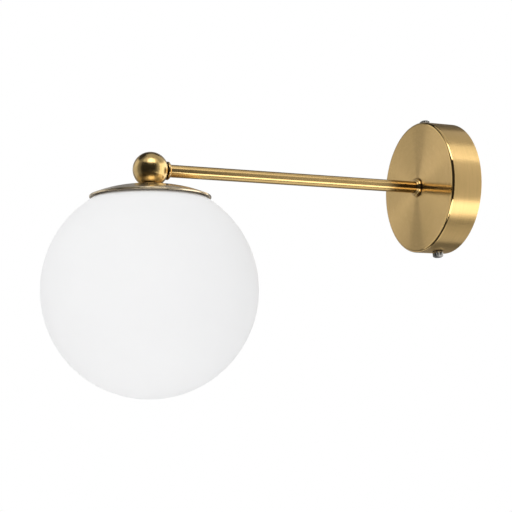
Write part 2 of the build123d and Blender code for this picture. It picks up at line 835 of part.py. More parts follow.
# ---------------------------------------------------------------- terminal block
block_centre = (0, -block_centre_drop)
block_width = (pole_count - 1) * pole_pitch + block_barrel_width
block_side = Plane(
    origin=strap_face.from_local_coords(
        (0, -block_centre_drop - block_length / 2, strap_thickness + pole_axis_height)
    ),
    x_dir=across,
    z_dir=along,
)
with BuildPart() as terminal_block:
    with BuildSketch(strap_face.offset(strap_thickness)):
        with Locations(block_centre):
            RectangleRounded(block_width, block_length, block_corner_radius)
    extrude(amount=block_web_height)
    with BuildSketch(strap_face.offset(strap_thickness)):
        with Locations(block_centre):
            with GridLocations(pole_pitch, 1, pole_count, 1):
                RectangleRounded(block_barrel_width, block_length, block_corner_radius)
    extrude(amount=block_height)
    with BuildSketch(block_side):
        with GridLocations(pole_pitch, 1, pole_count, 1):
            Circle(pole_diameter / 2 + thread_gap)
    extrude(amount=block_length, mode=Mode.SUBTRACT)
    with BuildSketch(strap_face.offset(strap_thickness + block_height)):
        with Locations(block_centre):
            with GridLocations(pole_pitch, pole_screw_spacing, pole_count, 2):
                Circle(pole_screw_diameter / 2 + slip_gap)
    extrude(amount=pole_axis_height - block_height, mode=Mode.SUBTRACT)
    with BuildSketch(strap_face.offset(strap_thickness + block_web_height)):
        with Locations(block_centre):
            with GridLocations(pole_pitch, 1, pole_count - 1, 1):
                Circle(block_screw_diameter / 2 + slip_gap)
    extrude(amount=-block_web_height, mode=Mode.SUBTRACT)
    with BuildSketch(strap_face.offset(strap_thickness + block_web_height)):
        with Locations(block_centre):
            with GridLocations(pole_pitch, 1, pole_count - 1, 1):
                Circle(block_screw_head / 2 + slip_gap)
    extrude(amount=block_height - block_web_height, mode=Mode.SUBTRACT)

pole_plane = Plane(
    origin=strap_face.from_local_coords(
        (0, -block_centre_drop - pole_length / 2, strap_thickness + pole_axis_height)
    ),
    x_dir=across,
    z_dir=along,
)
with BuildPart() as terminal_inserts:
    with BuildSketch(pole_plane):
        with GridLocations(pole_pitch, 1, pole_count, 1):
            Circle(pole_diameter / 2)
            Circle(pole_bore / 2, mode=Mode.SUBTRACT)
    extrude(amount=pole_length)

# Each grub screw stops just above its brass insert.
pole_screw_foot = strap_thickness + pole_axis_height + pole_diameter / 2 + slip_gap
with BuildPart() as terminal_screws:
    with BuildSketch(strap_face.offset(pole_screw_foot)):
        with Locations(block_centre):
            with GridLocations(pole_pitch, pole_screw_spacing, pole_count, 2):
                Circle(pole_screw_diameter / 2)
    extrude(amount=pole_screw_length)
    with BuildSketch(strap_face.offset(pole_screw_foot + pole_screw_length)):
        with Locations(block_centre):
            with GridLocations(pole_pitch, pole_screw_spacing, pole_count, 2):
                Rectangle(pole_screw_diameter, screw_slot_width)
    extrude(amount=-screw_slot_depth, mode=Mode.SUBTRACT)

with BuildPart() as block_screws:
    with BuildSketch(strap_face):
        with Locations(block_centre):
            with GridLocations(pole_pitch, 1, pole_count - 1, 1):
                Circle(block_screw_diameter / 2)
    extrude(amount=strap_thickness + block_web_height)
    with BuildSketch(strap_face.offset(strap_thickness + block_web_height)):
        with Locations(block_centre):
            with GridLocations(pole_pitch, 1, pole_count - 1, 1):
                Circle(block_screw_head / 2)
    extrude(amount=block_screw_head_height)

# ---------------------------------------------------------------- earth terminal on the strap
earth_centre = (0, earth_height)
earth_tag_top = strap_thickness + earth_tag_thickness
earth_washer_top = earth_tag_top + earth_washer_thickness
with BuildPart() as earth_tag:
    with BuildSketch(strap_face.offset(strap_thickness)):
        with Locations(earth_centre):
            Circle(earth_tag_diameter / 2)
        with Locations((0, earth_height - (earth_tag_neck + earth_tag_barrel_length) / 2)):
            Rectangle(earth_tag_strip, earth_tag_neck + earth_tag_barrel_length)
        with Locations(earth_centre):
            Circle(earth_thread / 2 + slip_gap, mode=Mode.SUBTRACT)
    extrude(amount=earth_tag_thickness)
    barrel_plane = Plane(
        origin=strap_face.from_local_coords(
            (0, earth_height - earth_tag_neck, strap_thickness + earth_tag_barrel / 2)
        ),
        x_dir=across,
        z_dir=along * -1,
    )
    with BuildSketch(barrel_plane):
        Circle(earth_tag_barrel / 2)
    extrude(amount=earth_tag_barrel_length)
    with BuildSketch(barrel_plane):
        Circle(wire_diameter / 2 + slip_gap)
    extrude(amount=earth_tag_barrel_length, mode=Mode.SUBTRACT)

with BuildPart() as earth_washer:
    with BuildSketch(strap_face.offset(earth_tag_top)):
        with Locations(earth_centre):
            Circle(earth_washer_diameter / 2)
            Circle(earth_thread / 2 + slip_gap, mode=Mode.SUBTRACT)
    extrude(amount=earth_washer_thickness)

with BuildPart() as earth_screw:
    with BuildSketch(strap_face):
        with Locations(earth_centre):
            Circle(earth_thread / 2)
    extrude(amount=earth_washer_top)
    with BuildSketch(strap_face.offset(earth_washer_top)):
        with Locations(earth_centre):
            Circle(earth_head_diameter / 2)
    extrude(amount=earth_head_height)
    fillet(edges().filter_by(GeomType.CIRCLE).group_by(Axis.Y)[0], earth_head_radius)
    with BuildSketch(strap_face.offset(earth_washer_top + earth_head_height)):
        with Locations(earth_centre):
            Rectangle(earth_slot_length, screw_slot_width)
            Rectangle(screw_slot_width, earth_slot_length)
    extrude(amount=-screw_slot_depth, mode=Mode.SUBTRACT)


# ---------------------------------------------------------------- wires
def wire(points, radii):
    """Insulated wire along straight runs joined by arcs."""
    with BuildPart() as lead:
        with BuildLine() as route:
            FilletPolyline(*points, radius=radii)
        with BuildSketch(Plane(origin=route.line @ 0, z_dir=route.line % 0)):
            Circle(wire_diameter / 2)
        sweep()
    return lead.part


pole_height = strap_thickness + pole_axis_height
block_top = -block_centre_drop + pole_length / 2
pole_reach = (pole_count - 1) / 2 * pole_pitch


def lamp_wire(side):
    """One of the two lamp wires: terminal block, arm, ball, nipple, lampholder terminal."""
    inside = side * wire_spread
    terminal = side * terminal_spread
    spread_top = nipple_bottom - wire_diameter / 2
    points = [
        strap_face.from_local_coords((side * pole_reach, block_top - wire_tuck, pole_height)),
        strap_face.from_local_coords((side * pole_reach, block_top + wire_block_lead, pole_height)),
        Vector(inside, -wire_turn_height, 0),
        Vector(inside, -arm_reach, 0),
        Vector(inside, -arm_reach, spread_top),
        Vector(terminal, -arm_reach, insert_top + terminal_height + wire_terminal_lead),
        Vector(terminal, -arm_reach, insert_top + terminal_height - wire_tuck),
    ]
    radii = [wire_small_bend, wire_bend_radius, wire_bend_radius, wire_small_bend, wire_small_bend]
    return wire(points, radii)


live_wire = lamp_wire(1)
neutral_wire = lamp_wire(-1)

barrel_height = strap_thickness + earth_tag_barrel / 2
barrel_mouth = earth_height - earth_tag_neck - earth_tag_barrel_length
earth_wire = wire(
    [
        strap_face.from_local_coords((0, block_top - wire_tuck, pole_height)),
        strap_face.from_local_coords((0, block_top + wire_block_lead, pole_height)),
        strap_face.from_local_coords((0, barrel_mouth - wire_block_lead, barrel_height)),
        strap_face.from_local_coords((0, barrel_mouth + wire_tuck, barrel_height)),
    ],
    [wire_small_bend, wire_small_bend],
)

# ---------------------------------------------------------------- write the pieces
pieces = {
    "canopy_cover": canopy_cover.part,
    "wall_bracket": wall_bracket.part,
    "thumb_screw_top": thumb_screw_top,
    "thumb_screw_bottom": thumb_screw_bottom,
    "wall_collar": wall_collar.part,
    "arm_rod": arm_rod.part,
    "rod_lock_washer": rod_lock_washer,
    "rod_nut": rod_nut,
    "ball_collar": ball_collar.part,
    "ball_knuckle": ball_knuckle.part,
    "ball_nipple": ball_nipple.part,
    "globe_cap": globe_cap.part,
    "glass_holder": glass_holder.part,
    "glass_clips": glass_clips.part,
    "clip_rivets": clip_rivets.part,
    "cap_lock_washer": cap_lock_washer,
    "cap_nut": cap_nut,
    "globe_glass": globe_glass.part,
    "lampholder_cap": lampholder_cap.part,
    "lampholder_skirt": lampholder_skirt.part,
    "lampholder_insert": lampholder_insert.part,
    "lampholder_terminals": lampholder_terminals.part,
    "lampholder_thread_shell": lampholder_thread_shell.part,
    "lampholder_contact": lampholder_contact.part,
    "bulb_contact": bulb_contact.part,
    "bulb_insulator": bulb_insulator.part,
    "bulb_cap": bulb_cap.part,
    "bulb_collar": bulb_collar.part,
    "bulb_envelope": bulb_envelope.part,
    "terminal_block": terminal_block.part,
    "terminal_inserts": terminal_inserts.part,
    "terminal_screws": terminal_screws.part,
    "block_screws": block_screws.part,
    "earth_tag": earth_tag.part,
    "earth_washer": earth_washer.part,
    "earth_screw": earth_screw.part,
    "live_wire": live_wire,
    "neutral_wire": neutral_wire,
    "earth_wire": earth_wire,
}
os.makedirs("parts", exist_ok=True)
for name, piece in pieces.items():
    piece.label = name
    export_step(piece, f"parts/{name}.step")
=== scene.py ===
"""Globe wall sconce: brushed brass canopy, arm, ball and cap, an opal glass globe and its lamp.

Laid out as an add-on and run as a script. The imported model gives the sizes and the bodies; each operator
makes one piece, or one group of like pieces, in metres in the model's own frame.
"""

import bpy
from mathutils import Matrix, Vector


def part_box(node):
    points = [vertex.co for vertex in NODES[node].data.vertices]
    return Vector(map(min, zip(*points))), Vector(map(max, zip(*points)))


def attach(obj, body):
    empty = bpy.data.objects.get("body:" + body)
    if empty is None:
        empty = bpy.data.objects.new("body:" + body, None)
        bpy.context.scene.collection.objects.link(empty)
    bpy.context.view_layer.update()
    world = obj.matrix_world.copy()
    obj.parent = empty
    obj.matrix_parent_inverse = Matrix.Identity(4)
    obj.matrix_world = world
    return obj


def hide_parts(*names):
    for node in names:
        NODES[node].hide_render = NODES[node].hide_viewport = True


bl_info = {
    "name": "Globe wall sconce",
    "version": (1, 0, 0),
    "blender": (4, 5, 0),
    "location": "3D View > Sidebar > Sconce",
    "description": "Builds the brass, glass and hardware of a globe wall sconce around its packed model",
    "category": "Object",
}

from math import acos, cos, pi, radians, sin, tau

import bmesh
import bpy
import numpy as np
from mathutils import Matrix, Vector

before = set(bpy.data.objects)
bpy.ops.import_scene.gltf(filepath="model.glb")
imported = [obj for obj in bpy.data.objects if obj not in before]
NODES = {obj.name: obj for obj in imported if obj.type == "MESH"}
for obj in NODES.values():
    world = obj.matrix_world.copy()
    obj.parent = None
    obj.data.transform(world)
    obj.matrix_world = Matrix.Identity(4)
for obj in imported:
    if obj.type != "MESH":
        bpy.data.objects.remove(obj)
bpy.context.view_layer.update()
MM = 0.001
UP = Vector((0, 0, 1))
OUT = Vector((0, -1, 0))  # away from the wall, along the arm
NECK = 4.0 * MM  # radius of the arm's threaded ends
NECK_HOLE = 4.1 * MM  # radius of the holes that they pass through


def low(node):
    """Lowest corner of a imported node's box."""
    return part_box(node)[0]


def high(node):
    """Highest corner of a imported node's box."""
    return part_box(node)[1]


# ---------------------------------------------------------------- properties
def length(name, description, default):
    """A size in metres that a user may change."""
    return bpy.props.FloatProperty(
        name=name, description=description, default=default, unit="LENGTH", precision=4
    )


def colour(name, description, default):
    """A linear colour that a user may change."""
    return bpy.props.FloatVectorProperty(
        name=name, description=description, default=(*default, 1.0), size=4, subtype="COLOR", min=0.0, max=1.0
    )


class SconceSizes(bpy.types.PropertyGroup):
    """Sizes of the turned and blown pieces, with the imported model's own as defaults."""

    canopy_radius: length("Canopy radius", "Outside radius of the wall canopy", high("canopy_cover").x)
    canopy_depth: length("Canopy depth", "Wall to the canopy's face", -low("canopy_cover").y)
    canopy_wall: length("Canopy wall", "Sheet thickness of the canopy", 1.2 * MM)
    canopy_edge: length("Canopy edge", "Rounding between the canopy's face and its rim", 1.9 * MM)
    thumb_height: length("Screw height", "Wall to the axis of the thumb screws", 12.5 * MM)
    collar_radius: length("Wall collar radius", "Radius of the bead against the canopy", high("wall_collar").x)
    collar_front: length("Wall collar front", "Wall to the front of the wall collar", -low("wall_collar").y)
    rod_radius: length("Rod radius", "Radius of the arm's full-size tube", high("arm_rod").x)
    ball_collar_radius: length("Ball collar radius", "Radius of the ring at the ball", high("ball_collar").x)
    ball_radius: length("Ball radius", "Radius of the ball knuckle", high("ball_knuckle").x)
    arm_reach: length("Arm reach", "Wall to the lamp's upright axis", -low("ball_knuckle").y - high("ball_knuckle").x)
    cap_radius: length("Cap radius", "Outside radius of the cap over the globe", high("globe_cap").x)
    cap_curve: length("Cap curve", "Radius of the cap's dome in section", 91 * MM)
    cap_wall: length("Cap wall", "Sheet thickness of the cap", 1.0 * MM)
    globe_radius: length("Globe radius", "Outside radius of the opal globe", high("globe_glass").x)
    globe_wall: length("Globe wall", "Thickness of the opal glass", 2.2 * MM)
    globe_opening: length("Globe opening", "Radius of the globe's opening", 33 * MM)
    thumb_head: length("Screw head", "Radius of a thumb screw's head", 4.1 * MM)
    bulb_radius: length("Bulb radius", "Radius of the lamp's ball", high("bulb_envelope").x)


class SconceColours(bpy.types.PropertyGroup):
    """Colours of the finishes, as linear values."""

    brass: colour("Brass", "Canopy, arm and collars", (0.70, 0.475, 0.20))
    brass_deep: colour("Deep brass", "Darker brush marks on the canopy, arm and collars", (0.58, 0.40, 0.155))
    pale_brass: colour("Pale brass", "Face colour of the cap over the globe", (0.68, 0.57, 0.40))
    pale_brass_deep: colour("Deep pale brass", "Darker brush marks on the cap", (0.56, 0.45, 0.30))
    aged_brass: colour("Aged brass", "Face colour of the ball", (0.60, 0.43, 0.19))
    aged_brass_deep: colour("Deep aged brass", "Darker brush marks on the ball", (0.44, 0.30, 0.11))
    nickel: colour("Nickel", "The lamp's screw cap", (0.74, 0.73, 0.70))
    screw: colour("Dark nickel", "Thumb screws", (0.34, 0.33, 0.31))
    zinc: colour("Zinc plate", "Bracket, nuts and washers", (0.40, 0.41, 0.42))
    spring: colour("Spring steel", "Clips that hold the globe", (0.42, 0.42, 0.43))
    opal: colour("Opal glass", "The globe", (0.90, 0.905, 0.915))
    frosted: colour("Lamp glass", "The lamp's ball", (0.88, 0.87, 0.84))
    plastic: colour("White plastic", "Lampholder and lamp collar", (0.80, 0.79, 0.76))
    ceramic: colour("Ceramic", "Lampholder's inside", (0.78, 0.76, 0.71))
    contact: colour("Plain brass", "Terminals, thread shell and contact", (0.66, 0.50, 0.24))
    tin: colour("Tin", "Tinned copper and solder", (0.66, 0.66, 0.64))
    vitrite: colour("Black glass", "Insulator at the lamp's foot", (0.012, 0.011, 0.013))
    clear: colour("Terminal block", "Milky terminal block", (0.74, 0.75, 0.73))
    brown: colour("Brown wire", "Live wire's insulation", (0.085, 0.030, 0.012))
    blue: colour("Blue wire", "Neutral wire's insulation", (0.020, 0.075, 0.330))
    green: colour("Green wire", "Earth wire's insulation", (0.030, 0.210, 0.045))
    yellow: colour("Yellow stripe", "Earth wire's stripe", (0.720, 0.520, 0.030))


class SconceStage(bpy.types.PropertyGroup):
    """The pale floor and the soft light."""

    floor_drop: length("Floor drop", "Lamp axis down to the floor", 1.3)
    sky: bpy.props.FloatProperty(
        name="Fill", description="How bright the surroundings light matt surfaces", default=0.85, min=0.0
    )


# ---------------------------------------------------------------- surfaces
def rounded(corners, closed=True, steps=8, hold=0.12 * MM):
    """Profile through corners (x, y, radius). A corner becomes the arc of its radius that touches both of its
    runs: centre + (start sin((1-t)turn) + end sin(t turn)) / sin(turn), with a point a little way along each run.
    """
    places = np.array([c[:2] for c in corners], float)
    parts = []
    for k, radius in enumerate(c[2] for c in corners):
        here = places[k]
        if radius == 0 or (not closed and k in (0, len(corners) - 1)):
            parts.append(here[None])
            continue
        back, onward = places[k - 1] - here, places[(k + 1) % len(corners)] - here
        back, onward = back / np.linalg.norm(back), onward / np.linalg.norm(onward)
        half = 0.5 * acos(np.clip(back @ onward, -1, 1))
        reach, turn = radius * cos(half) / sin(half), pi - 2 * half
        centre = here + (back + onward) / np.linalg.norm(back + onward) * radius / sin(half)
        start, end = here + back * reach, here + onward * reach
        t = np.linspace(0, 1, steps + 1)[:, None]
        arc = centre + (np.sin((1 - t) * turn) * (start - centre) + np.sin(t * turn) * (end - centre)) / sin(turn)
        parts += [(start + back * hold)[None], arc, (end + onward * hold)[None]]
    return np.concatenate(parts)


def dense(profile, step, closed=True):
    """The same profile with its long runs divided, so that no run is longer than step."""
    ends = np.roll(profile, -1, axis=0) if closed else profile[1:]
    parts = []
    for start, end in zip(profile, ends):
        count = max(1, int(np.ceil(np.linalg.norm(end - start) / step)))
        parts.append(start + (end - start) * (np.arange(count) / count)[:, None])
    if not closed:
        parts.append(profile[-1:])
    return np.concatenate(parts)


def grid_piece(name, points, along, closed=True):
    """Mesh of four-sided faces over a grid of points, rows along a profile and columns round an axis. Its UV map
    holds the distance along the profile in metres as u, and the share of a full turn as v.
    """
    rows, columns = points.shape[:2]
    i, j = np.meshgrid(np.arange(rows if closed else rows - 1), np.arange(columns), indexing="ij")
    i, j = i.ravel(), j.ravel()
    row_after, column_after = (i + 1) % rows, (j + 1) % columns
    faces = np.stack(
        [i * columns + j, row_after * columns + j, row_after * columns + column_after, i * columns + column_after],
        axis=1,
    )
    mesh = bpy.data.meshes.new(name)
    mesh.from_pydata(points.reshape(-1, 3), [], faces)
    u = along[np.stack([i, i + 1, i + 1, i], axis=1)]
    v = np.stack([j, j, j + 1, j + 1], axis=1) / columns
    layer = mesh.uv_layers.new(name="UVMap")
    layer.data.foreach_set("uv", np.stack([u, v], axis=-1).astype(np.float32).ravel())
    mesh.update()
    return mesh


def turned(name, profile, centre, axis, around=192, closed=True, shape=None):
    """Mesh turned about an axis: centre + height * axis + radius * (across cos t + side sin t), for each profile
    point (radius, height) and each turn t. shape(radius, height, t) may change the radius, for threads and flutes.
    """
    axis = np.array(axis, float)
    across = np.array((1.0, 0.0, 0.0)) if abs(axis[0]) < 0.9 else np.array((0.0, 1.0, 0.0))
    across = across - axis * (across @ axis)
    across /= np.linalg.norm(across)
    side = np.cross(axis, across)
    turn = np.arange(around) / around * tau
    radius = np.repeat(profile[:, :1], around, axis=1)
    if shape is not None:
        radius = shape(radius, profile[:, 1:], turn[None])
    points = (
        np.array(centre)
        + profile[:, 1, None, None] * axis
        + radius[..., None] * (np.cos(turn)[:, None] * across + np.sin(turn)[:, None] * side)
    )
    runs = np.linalg.norm(np.diff(profile, axis=0, append=profile[:1]), axis=1)
    return grid_piece(name, points, np.concatenate([[0], np.cumsum(runs)]), closed)


def closed_up(mesh, cut=(), sharp=35):
    """Merges poles and seams, cuts the mesh flat at each (point, normal) in cut, fills the cut, and turns faces
    outwards. Edges steeper than sharp degrees stay sharp.
    """
    work = bmesh.new()
    work.from_mesh(mesh)
    bmesh.ops.remove_doubles(work, verts=work.verts, dist=1e-7)
    for point, normal in cut:
        everything = work.verts[:] + work.edges[:] + work.faces[:]
        bmesh.ops.bisect_plane(work, geom=everything, plane_co=point, plane_no=normal, clear_outer=True, dist=1e-7)
        rim = [e for e in work.edges if e.is_boundary]
        bmesh.ops.holes_fill(work, edges=rim, sides=0)
    bmesh.ops.recalc_face_normals(work, faces=work.faces)
    work.to_mesh(mesh)
    work.free()
    mesh.shade_smooth()
    mesh.set_sharp_from_angle(angle=radians(sharp))
    return mesh


def turned_piece(
    name, stands_for, body, slot, finish, profile, centre=(0, 0, 0), axis=OUT, cut=(), sharp=35, **turning
):
    """A named piece turned about an axis and closed up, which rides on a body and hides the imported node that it
    stands for.
    """
    mesh = closed_up(turned(name, profile, centre, axis, **turning), cut, sharp)
    mesh.materials.append(finish)
    piece = bpy.data.objects.new(name, mesh)
    bpy.context.scene.collection.objects.link(piece)
    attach(piece, body)
    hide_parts(stands_for)
    return piece


def thread(pitch, depth, start, end, fade):
    """Radius change of a screw thread: minus depth times a rounded wave of height/pitch - turn, faded at both ends."""

    def shape(radius, height, turn):
        wave = 0.5 - 0.5 * np.cos(tau * height / pitch - turn)
        ends = np.clip((height - start) / fade, 0, 1) * np.clip((end - height) / fade, 0, 1)
        return radius - depth * wave * ends * (radius > 0)

    return shape


# ---------------------------------------------------------------- materials
def node(tree, kind, inputs=None, **settings):
    """Adds a shader node. An input is a value, or a socket to link from."""
    made = tree.nodes.new("ShaderNode" + kind)
    for key, value in settings.items():
        setattr(made, key, value)
    for key, value in (inputs or {}).items():
        if isinstance(value, bpy.types.NodeSocket):
            tree.links.new(value, made.inputs[key])
        else:
            made.inputs[key].default_value = value
    return made


def maths(tree, operation, *values):
    """Result of a Math node."""
    return node(tree, "Math", dict(enumerate(values)), operation=operation).outputs["Value"]


def mixed(tree, amount, first, second):
    """Colour between first and second."""
    return node(tree, "Mix", {0: amount, 6: first, 7: second}, data_type="RGBA").outputs[2]


def ranged(tree, value, least, most, start=0.0, end=1.0):
    """Value from start..end brought to least..most."""
    return node(
        tree, "MapRange", {"Value": value, "From Min": start, "From Max": end, "To Min": least, "To Max": most}
    ).outputs["Result"]


def clouds(tree, place, scale, detail=3.0):
    """Soft noise from 0 to 1 at a place, scale in repeats a metre."""
    return node(tree, "TexNoise", {"Vector": place, "Scale": scale, "Detail": detail}).outputs["Fac"]


def object_place(tree, centre=(0, 0, 0)):
    """Object coordinates measured from a centre."""
    place = node(tree, "TexCoord").outputs["Object"]
    return node(tree, "Mapping", {"Vector": place, "Location": tuple(-c for c in centre)}).outputs["Vector"]


def ring_place(tree, centre, axis, stretch):
    """A place whose first two parts go slowly round the axis and whose third is the distance out plus the distance
    along, so that noise on it makes fine marks that run round the axis, with no seam.
    """
    keep = tuple(0.0 if abs(a) > 0.5 else 1.0 for a in axis)
    along = tuple(1.0 if abs(a) > 0.5 else 0.0 for a in axis)
    place = object_place(tree, centre)
    flat = node(tree, "VectorMath", {0: place, 1: keep}, operation="MULTIPLY").outputs["Vector"]
    out = node(tree, "VectorMath", {0: flat}, operation="LENGTH").outputs["Value"]
    height = node(tree, "VectorMath", {0: place, 1: along}, operation="DOT_PRODUCT").outputs["Value"]
    slow = node(tree, "VectorMath", {0: flat, "Scale": stretch}, operation="SCALE").outputs["Vector"]
    far = maths(tree, "ADD", out, height)
    fine = node(tree, "VectorMath", {0: along, "Scale": far}, operation="SCALE").outputs["Vector"]
    return node(tree, "VectorMath", {0: slow, 1: fine}, operation="ADD").outputs["Vector"]


def made_once(fill):
    """Turns fill(tree, shader, ...), which works on a new material's nodes, into a function of the finish's name that
    makes the material the first time and returns it every time.
    """

    def finish(name, *values, **options):
        material = bpy.data.materials.get(name + "_finish")
        if material is None:
            material = bpy.data.materials.new(name + "_finish")
            material.use_nodes = True
            tree = material.node_tree
            fill(tree, tree.nodes["Principled BSDF"], *values, **options)
        return material

    return finish


def set_plain(shader, **values):
    """Sets plain values on the shader's own sockets, with _ for a space in their names."""
    for key, value in values.items():
        shader.inputs[key.replace("_", " ")].default_value = value


def dress(tree, shader, shade, roughness, height, strength, depth, **values):
    """Links a tone, a roughness and the relief of a height to the main shader, and sets plain values on it."""
    relief = node(tree, "Bump", {"Strength": strength, "Distance": depth, "Height": height})
    tree.links.new(shade, shader.inputs["Base Color"])
    tree.links.new(roughness, shader.inputs["Roughness"])
    tree.links.new(relief.outputs["Normal"], shader.inputs["Normal"])
    set_plain(shader, **values)


def scaled(tone, share):
    """A share of a tone, opaque."""
    return (*(c * share for c in tone[:3]), 1.0)


def cloudy(tree, cloud, tone, share, start=0.3, end=0.7):
    """The tone where the cloud is over end, down to a share of it where the cloud is under start."""
    return mixed(tree, ranged(tree, cloud, 0.0, 1.0, start, end), scaled(tone, share), tuple(tone))


def painted_hollow_shade(tree, shade, hollow_colour, size, start, end):
    """The colour, darkened by painted shade in hollows of this size, from an open share of start, fading out by end.
    """
    # painted shade: ambient occlusion picks out the hollows, which are darkened
    open_share = node(tree, "AmbientOcclusion", {"Distance": size}, samples=8).outputs["AO"]
    return mixed(tree, ranged(tree, open_share, 0.0, 1.0, start, end), hollow_colour, shade)


HOLLOW_SHADE_COLOUR = (0.10, 0.05, 0.015, 1.0)  # colour of the painted shade in the brass's hollows
# reach of the painted shade in the brass's hollows
BRASS_HOLLOW = 1.6 * MM
HOLLOW_SHADE_SHARE = 0.06  # share of its tone that a plain metal keeps under the painted shade in its hollows
EDGE_SHARE, RIM_SHARE = 0.32, 1.45  # shares of the roughness on a polished edge and past it


@made_once
def brushed_brass(tree, shader, centre, axis, rough, smear, marks=0.05, edge=None, tone="brass"):
    """Brass brushed round an axis: fine rings in tone, roughness and relief, over slow clouds of tone, with painted
    shade in its hollows. smear stretches highlights across the rings, along the UV map's u. The part of u that edge
    gives, as its middle and half its width, is polished by handling, and what lies past it is duller.
    """
    tones = bpy.context.scene.sconce_colours
    rings = ring_place(tree, centre, axis, 0.02)
    fine, coarse = clouds(tree, rings, 9000.0, 3.0), clouds(tree, rings, 2600.0, 2.0)
    slow = clouds(tree, object_place(tree, centre), 30.0)
    streak = maths(tree, "ADD", fine, coarse)
    amount = ranged(tree, maths(tree, "ADD", streak, slow), 0.0, 1.0, 1.1, 1.8)
    shade = mixed(tree, amount, getattr(tones, tone + "_deep"), getattr(tones, tone))
    # painted shade: the brass darkens to a dark brown in its hollows, by ambient occlusion
    shade = painted_hollow_shade(tree, shade, HOLLOW_SHADE_COLOUR, BRASS_HOLLOW, 0.35, 0.85)
    roughness = ranged(tree, fine, rough * 0.9, rough * 1.1, 0.3, 0.7)
    if edge:
        along = node(tree, "SeparateXYZ", {"Vector": node(tree, "UVMap", uv_map="UVMap").outputs["UV"]}).outputs["X"]
        polished = ranged(tree, maths(tree, "COMPARE", along, *edge), 1.0, EDGE_SHARE)
        past = ranged(tree, maths(tree, "GREATER_THAN", along, sum(edge)), 1.0, RIM_SHARE)
        for share in (polished, past):
            roughness = maths(tree, "MULTIPLY", roughness, share)
    tangent = node(tree, "Tangent", direction_type="UV_MAP", uv_map="UVMap")
    tree.links.new(tangent.outputs["Tangent"], shader.inputs["Tangent"])
    dress(tree, shader, shade, roughness, streak, marks, 0.02 * MM, Metallic=1.0, Anisotropic=smear)


@made_once
def plain_metal(tree, shader, tone, rough, patch, marks=0.03, hollow=0.0):
    """Plated or bare metal: patches of tone and roughness, with fine pitting in the relief. hollow is the size of the
    hollows that get painted shade.
    """
    place = object_place(tree)
    patches, pits = clouds(tree, place, 260.0, 4.0), clouds(tree, place, 2600.0, 2.0)
    shade = cloudy(tree, patches, tone, 1 - patch, 0.35, 0.65)
    # painted shade: the metal darkens in hollows of this size, by ambient occlusion
    if hollow:
        shade = painted_hollow_shade(tree, shade, scaled(tone, HOLLOW_SHADE_SHARE), hollow, 0.45, 0.9)
    roughness = ranged(tree, patches, rough * 1.2, rough * 0.85, 0.3, 0.7)
    dress(tree, shader, shade, roughness, pits, marks, 0.05 * MM, Metallic=1.0)


@made_once
def moulded(tree, shader, tone, rough, **values):
    """Moulded plastic or glazed ceramic: slight clouds of tone, uneven gloss and faint orange peel."""
    place = object_place(tree)
    slow, peel = clouds(tree, place, 90.0), clouds(tree, place, 1400.0, 2.0)
    roughness = ranged(tree, slow, rough * 1.15, rough * 0.85, 0.3, 0.7)
    dress(tree, shader, cloudy(tree, slow, tone, 0.93), roughness, peel, 0.04, 0.05 * MM, **values)


@made_once
def opal_glass(tree, shader, tone, rough):
    """Matt opal glass: light soaks a little way in, and the etched skin has a fine, even grain."""
    place = object_place(tree)
    slow, grain = clouds(tree, place, 16.0, 2.0), clouds(tree, place, 3000.0, 2.0)
    roughness = ranged(tree, grain, rough * 0.94, rough * 1.06, 0.3, 0.7)
    dress(tree, shader, cloudy(tree, slow, tone, 0.985), roughness, grain, 0.02, 0.02 * MM)
    set_plain(shader, Subsurface_Weight=0.6, Subsurface_Scale=4.0 * MM, Subsurface_Radius=(1.0, 1.0, 1.0))
    set_plain(shader, IOR=1.5, Specular_IOR_Level=0.12)


@made_once
def striped_wire(tree, shader, ground, stripe):
    """Green insulation with a yellow stripe along one side, parted by the distance across the strap."""
    place = object_place(tree)
    across = Vector((screw_direction().z, 0, -screw_direction().x))
    offset = node(tree, "VectorMath", {0: place, 1: across}, operation="DOT_PRODUCT").outputs["Value"]
    striped = maths(tree, "GREATER_THAN", offset, 0.15 * MM)
    tree.links.new(mixed(tree, striped, tuple(ground), tuple(stripe)), shader.inputs["Base Color"])
    tree.links.new(ranged(tree, clouds(tree, place, 400.0), 0.36, 0.48, 0.3, 0.7), shader.inputs["Roughness"])


# ---------------------------------------------------------------- pieces
class SCONCE_OT_canopy(bpy.types.Operator):
    """Spun brass cup on the wall, with the two holes for its thumb screws."""

    bl_idname = "sconce.canopy"
    bl_label = "Canopy"

    def execute(self, context):
        size = context.scene.sconce_sizes
        radius, depth, wall = size.canopy_radius, size.canopy_depth, size.canopy_wall
        corners = [
            (NECK_HOLE, depth, 0.0),
            (radius, depth, size.canopy_edge),
            (radius, 0.0, 0.2 * MM),
            (radius - wall, 0.0, 0.2 * MM),
            (radius - wall, depth - wall, 0.6 * MM),
            (NECK_HOLE, depth - wall, 0.0),
        ]
        profile = dense(rounded(corners, steps=12), 2.5 * MM)
        face_run = radius - size.canopy_edge - NECK_HOLE
        edge_run = size.canopy_edge * pi / 2
        edge = (face_run + edge_run / 2, edge_run / 2)
        finish = brushed_brass("brushed_brass_plate", (0, 0, 0), OUT, 0.25, 1.0, 0.012, edge)
        shell = turned_piece("canopy_shell", "canopy_cover", "fixture", "brushed_brass", finish, profile, around=256)
        drill_rim(shell, size)
        return {"FINISHED"}


def screw_direction():
    """Unit direction from the arm's axis to the upper thumb screw, square to the wall's normal."""
    low_corner, high_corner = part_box("thumb_screw_top")
    middle = (low_corner + high_corner) / 2
    return Vector((middle.x, 0, middle.z)).normalized()


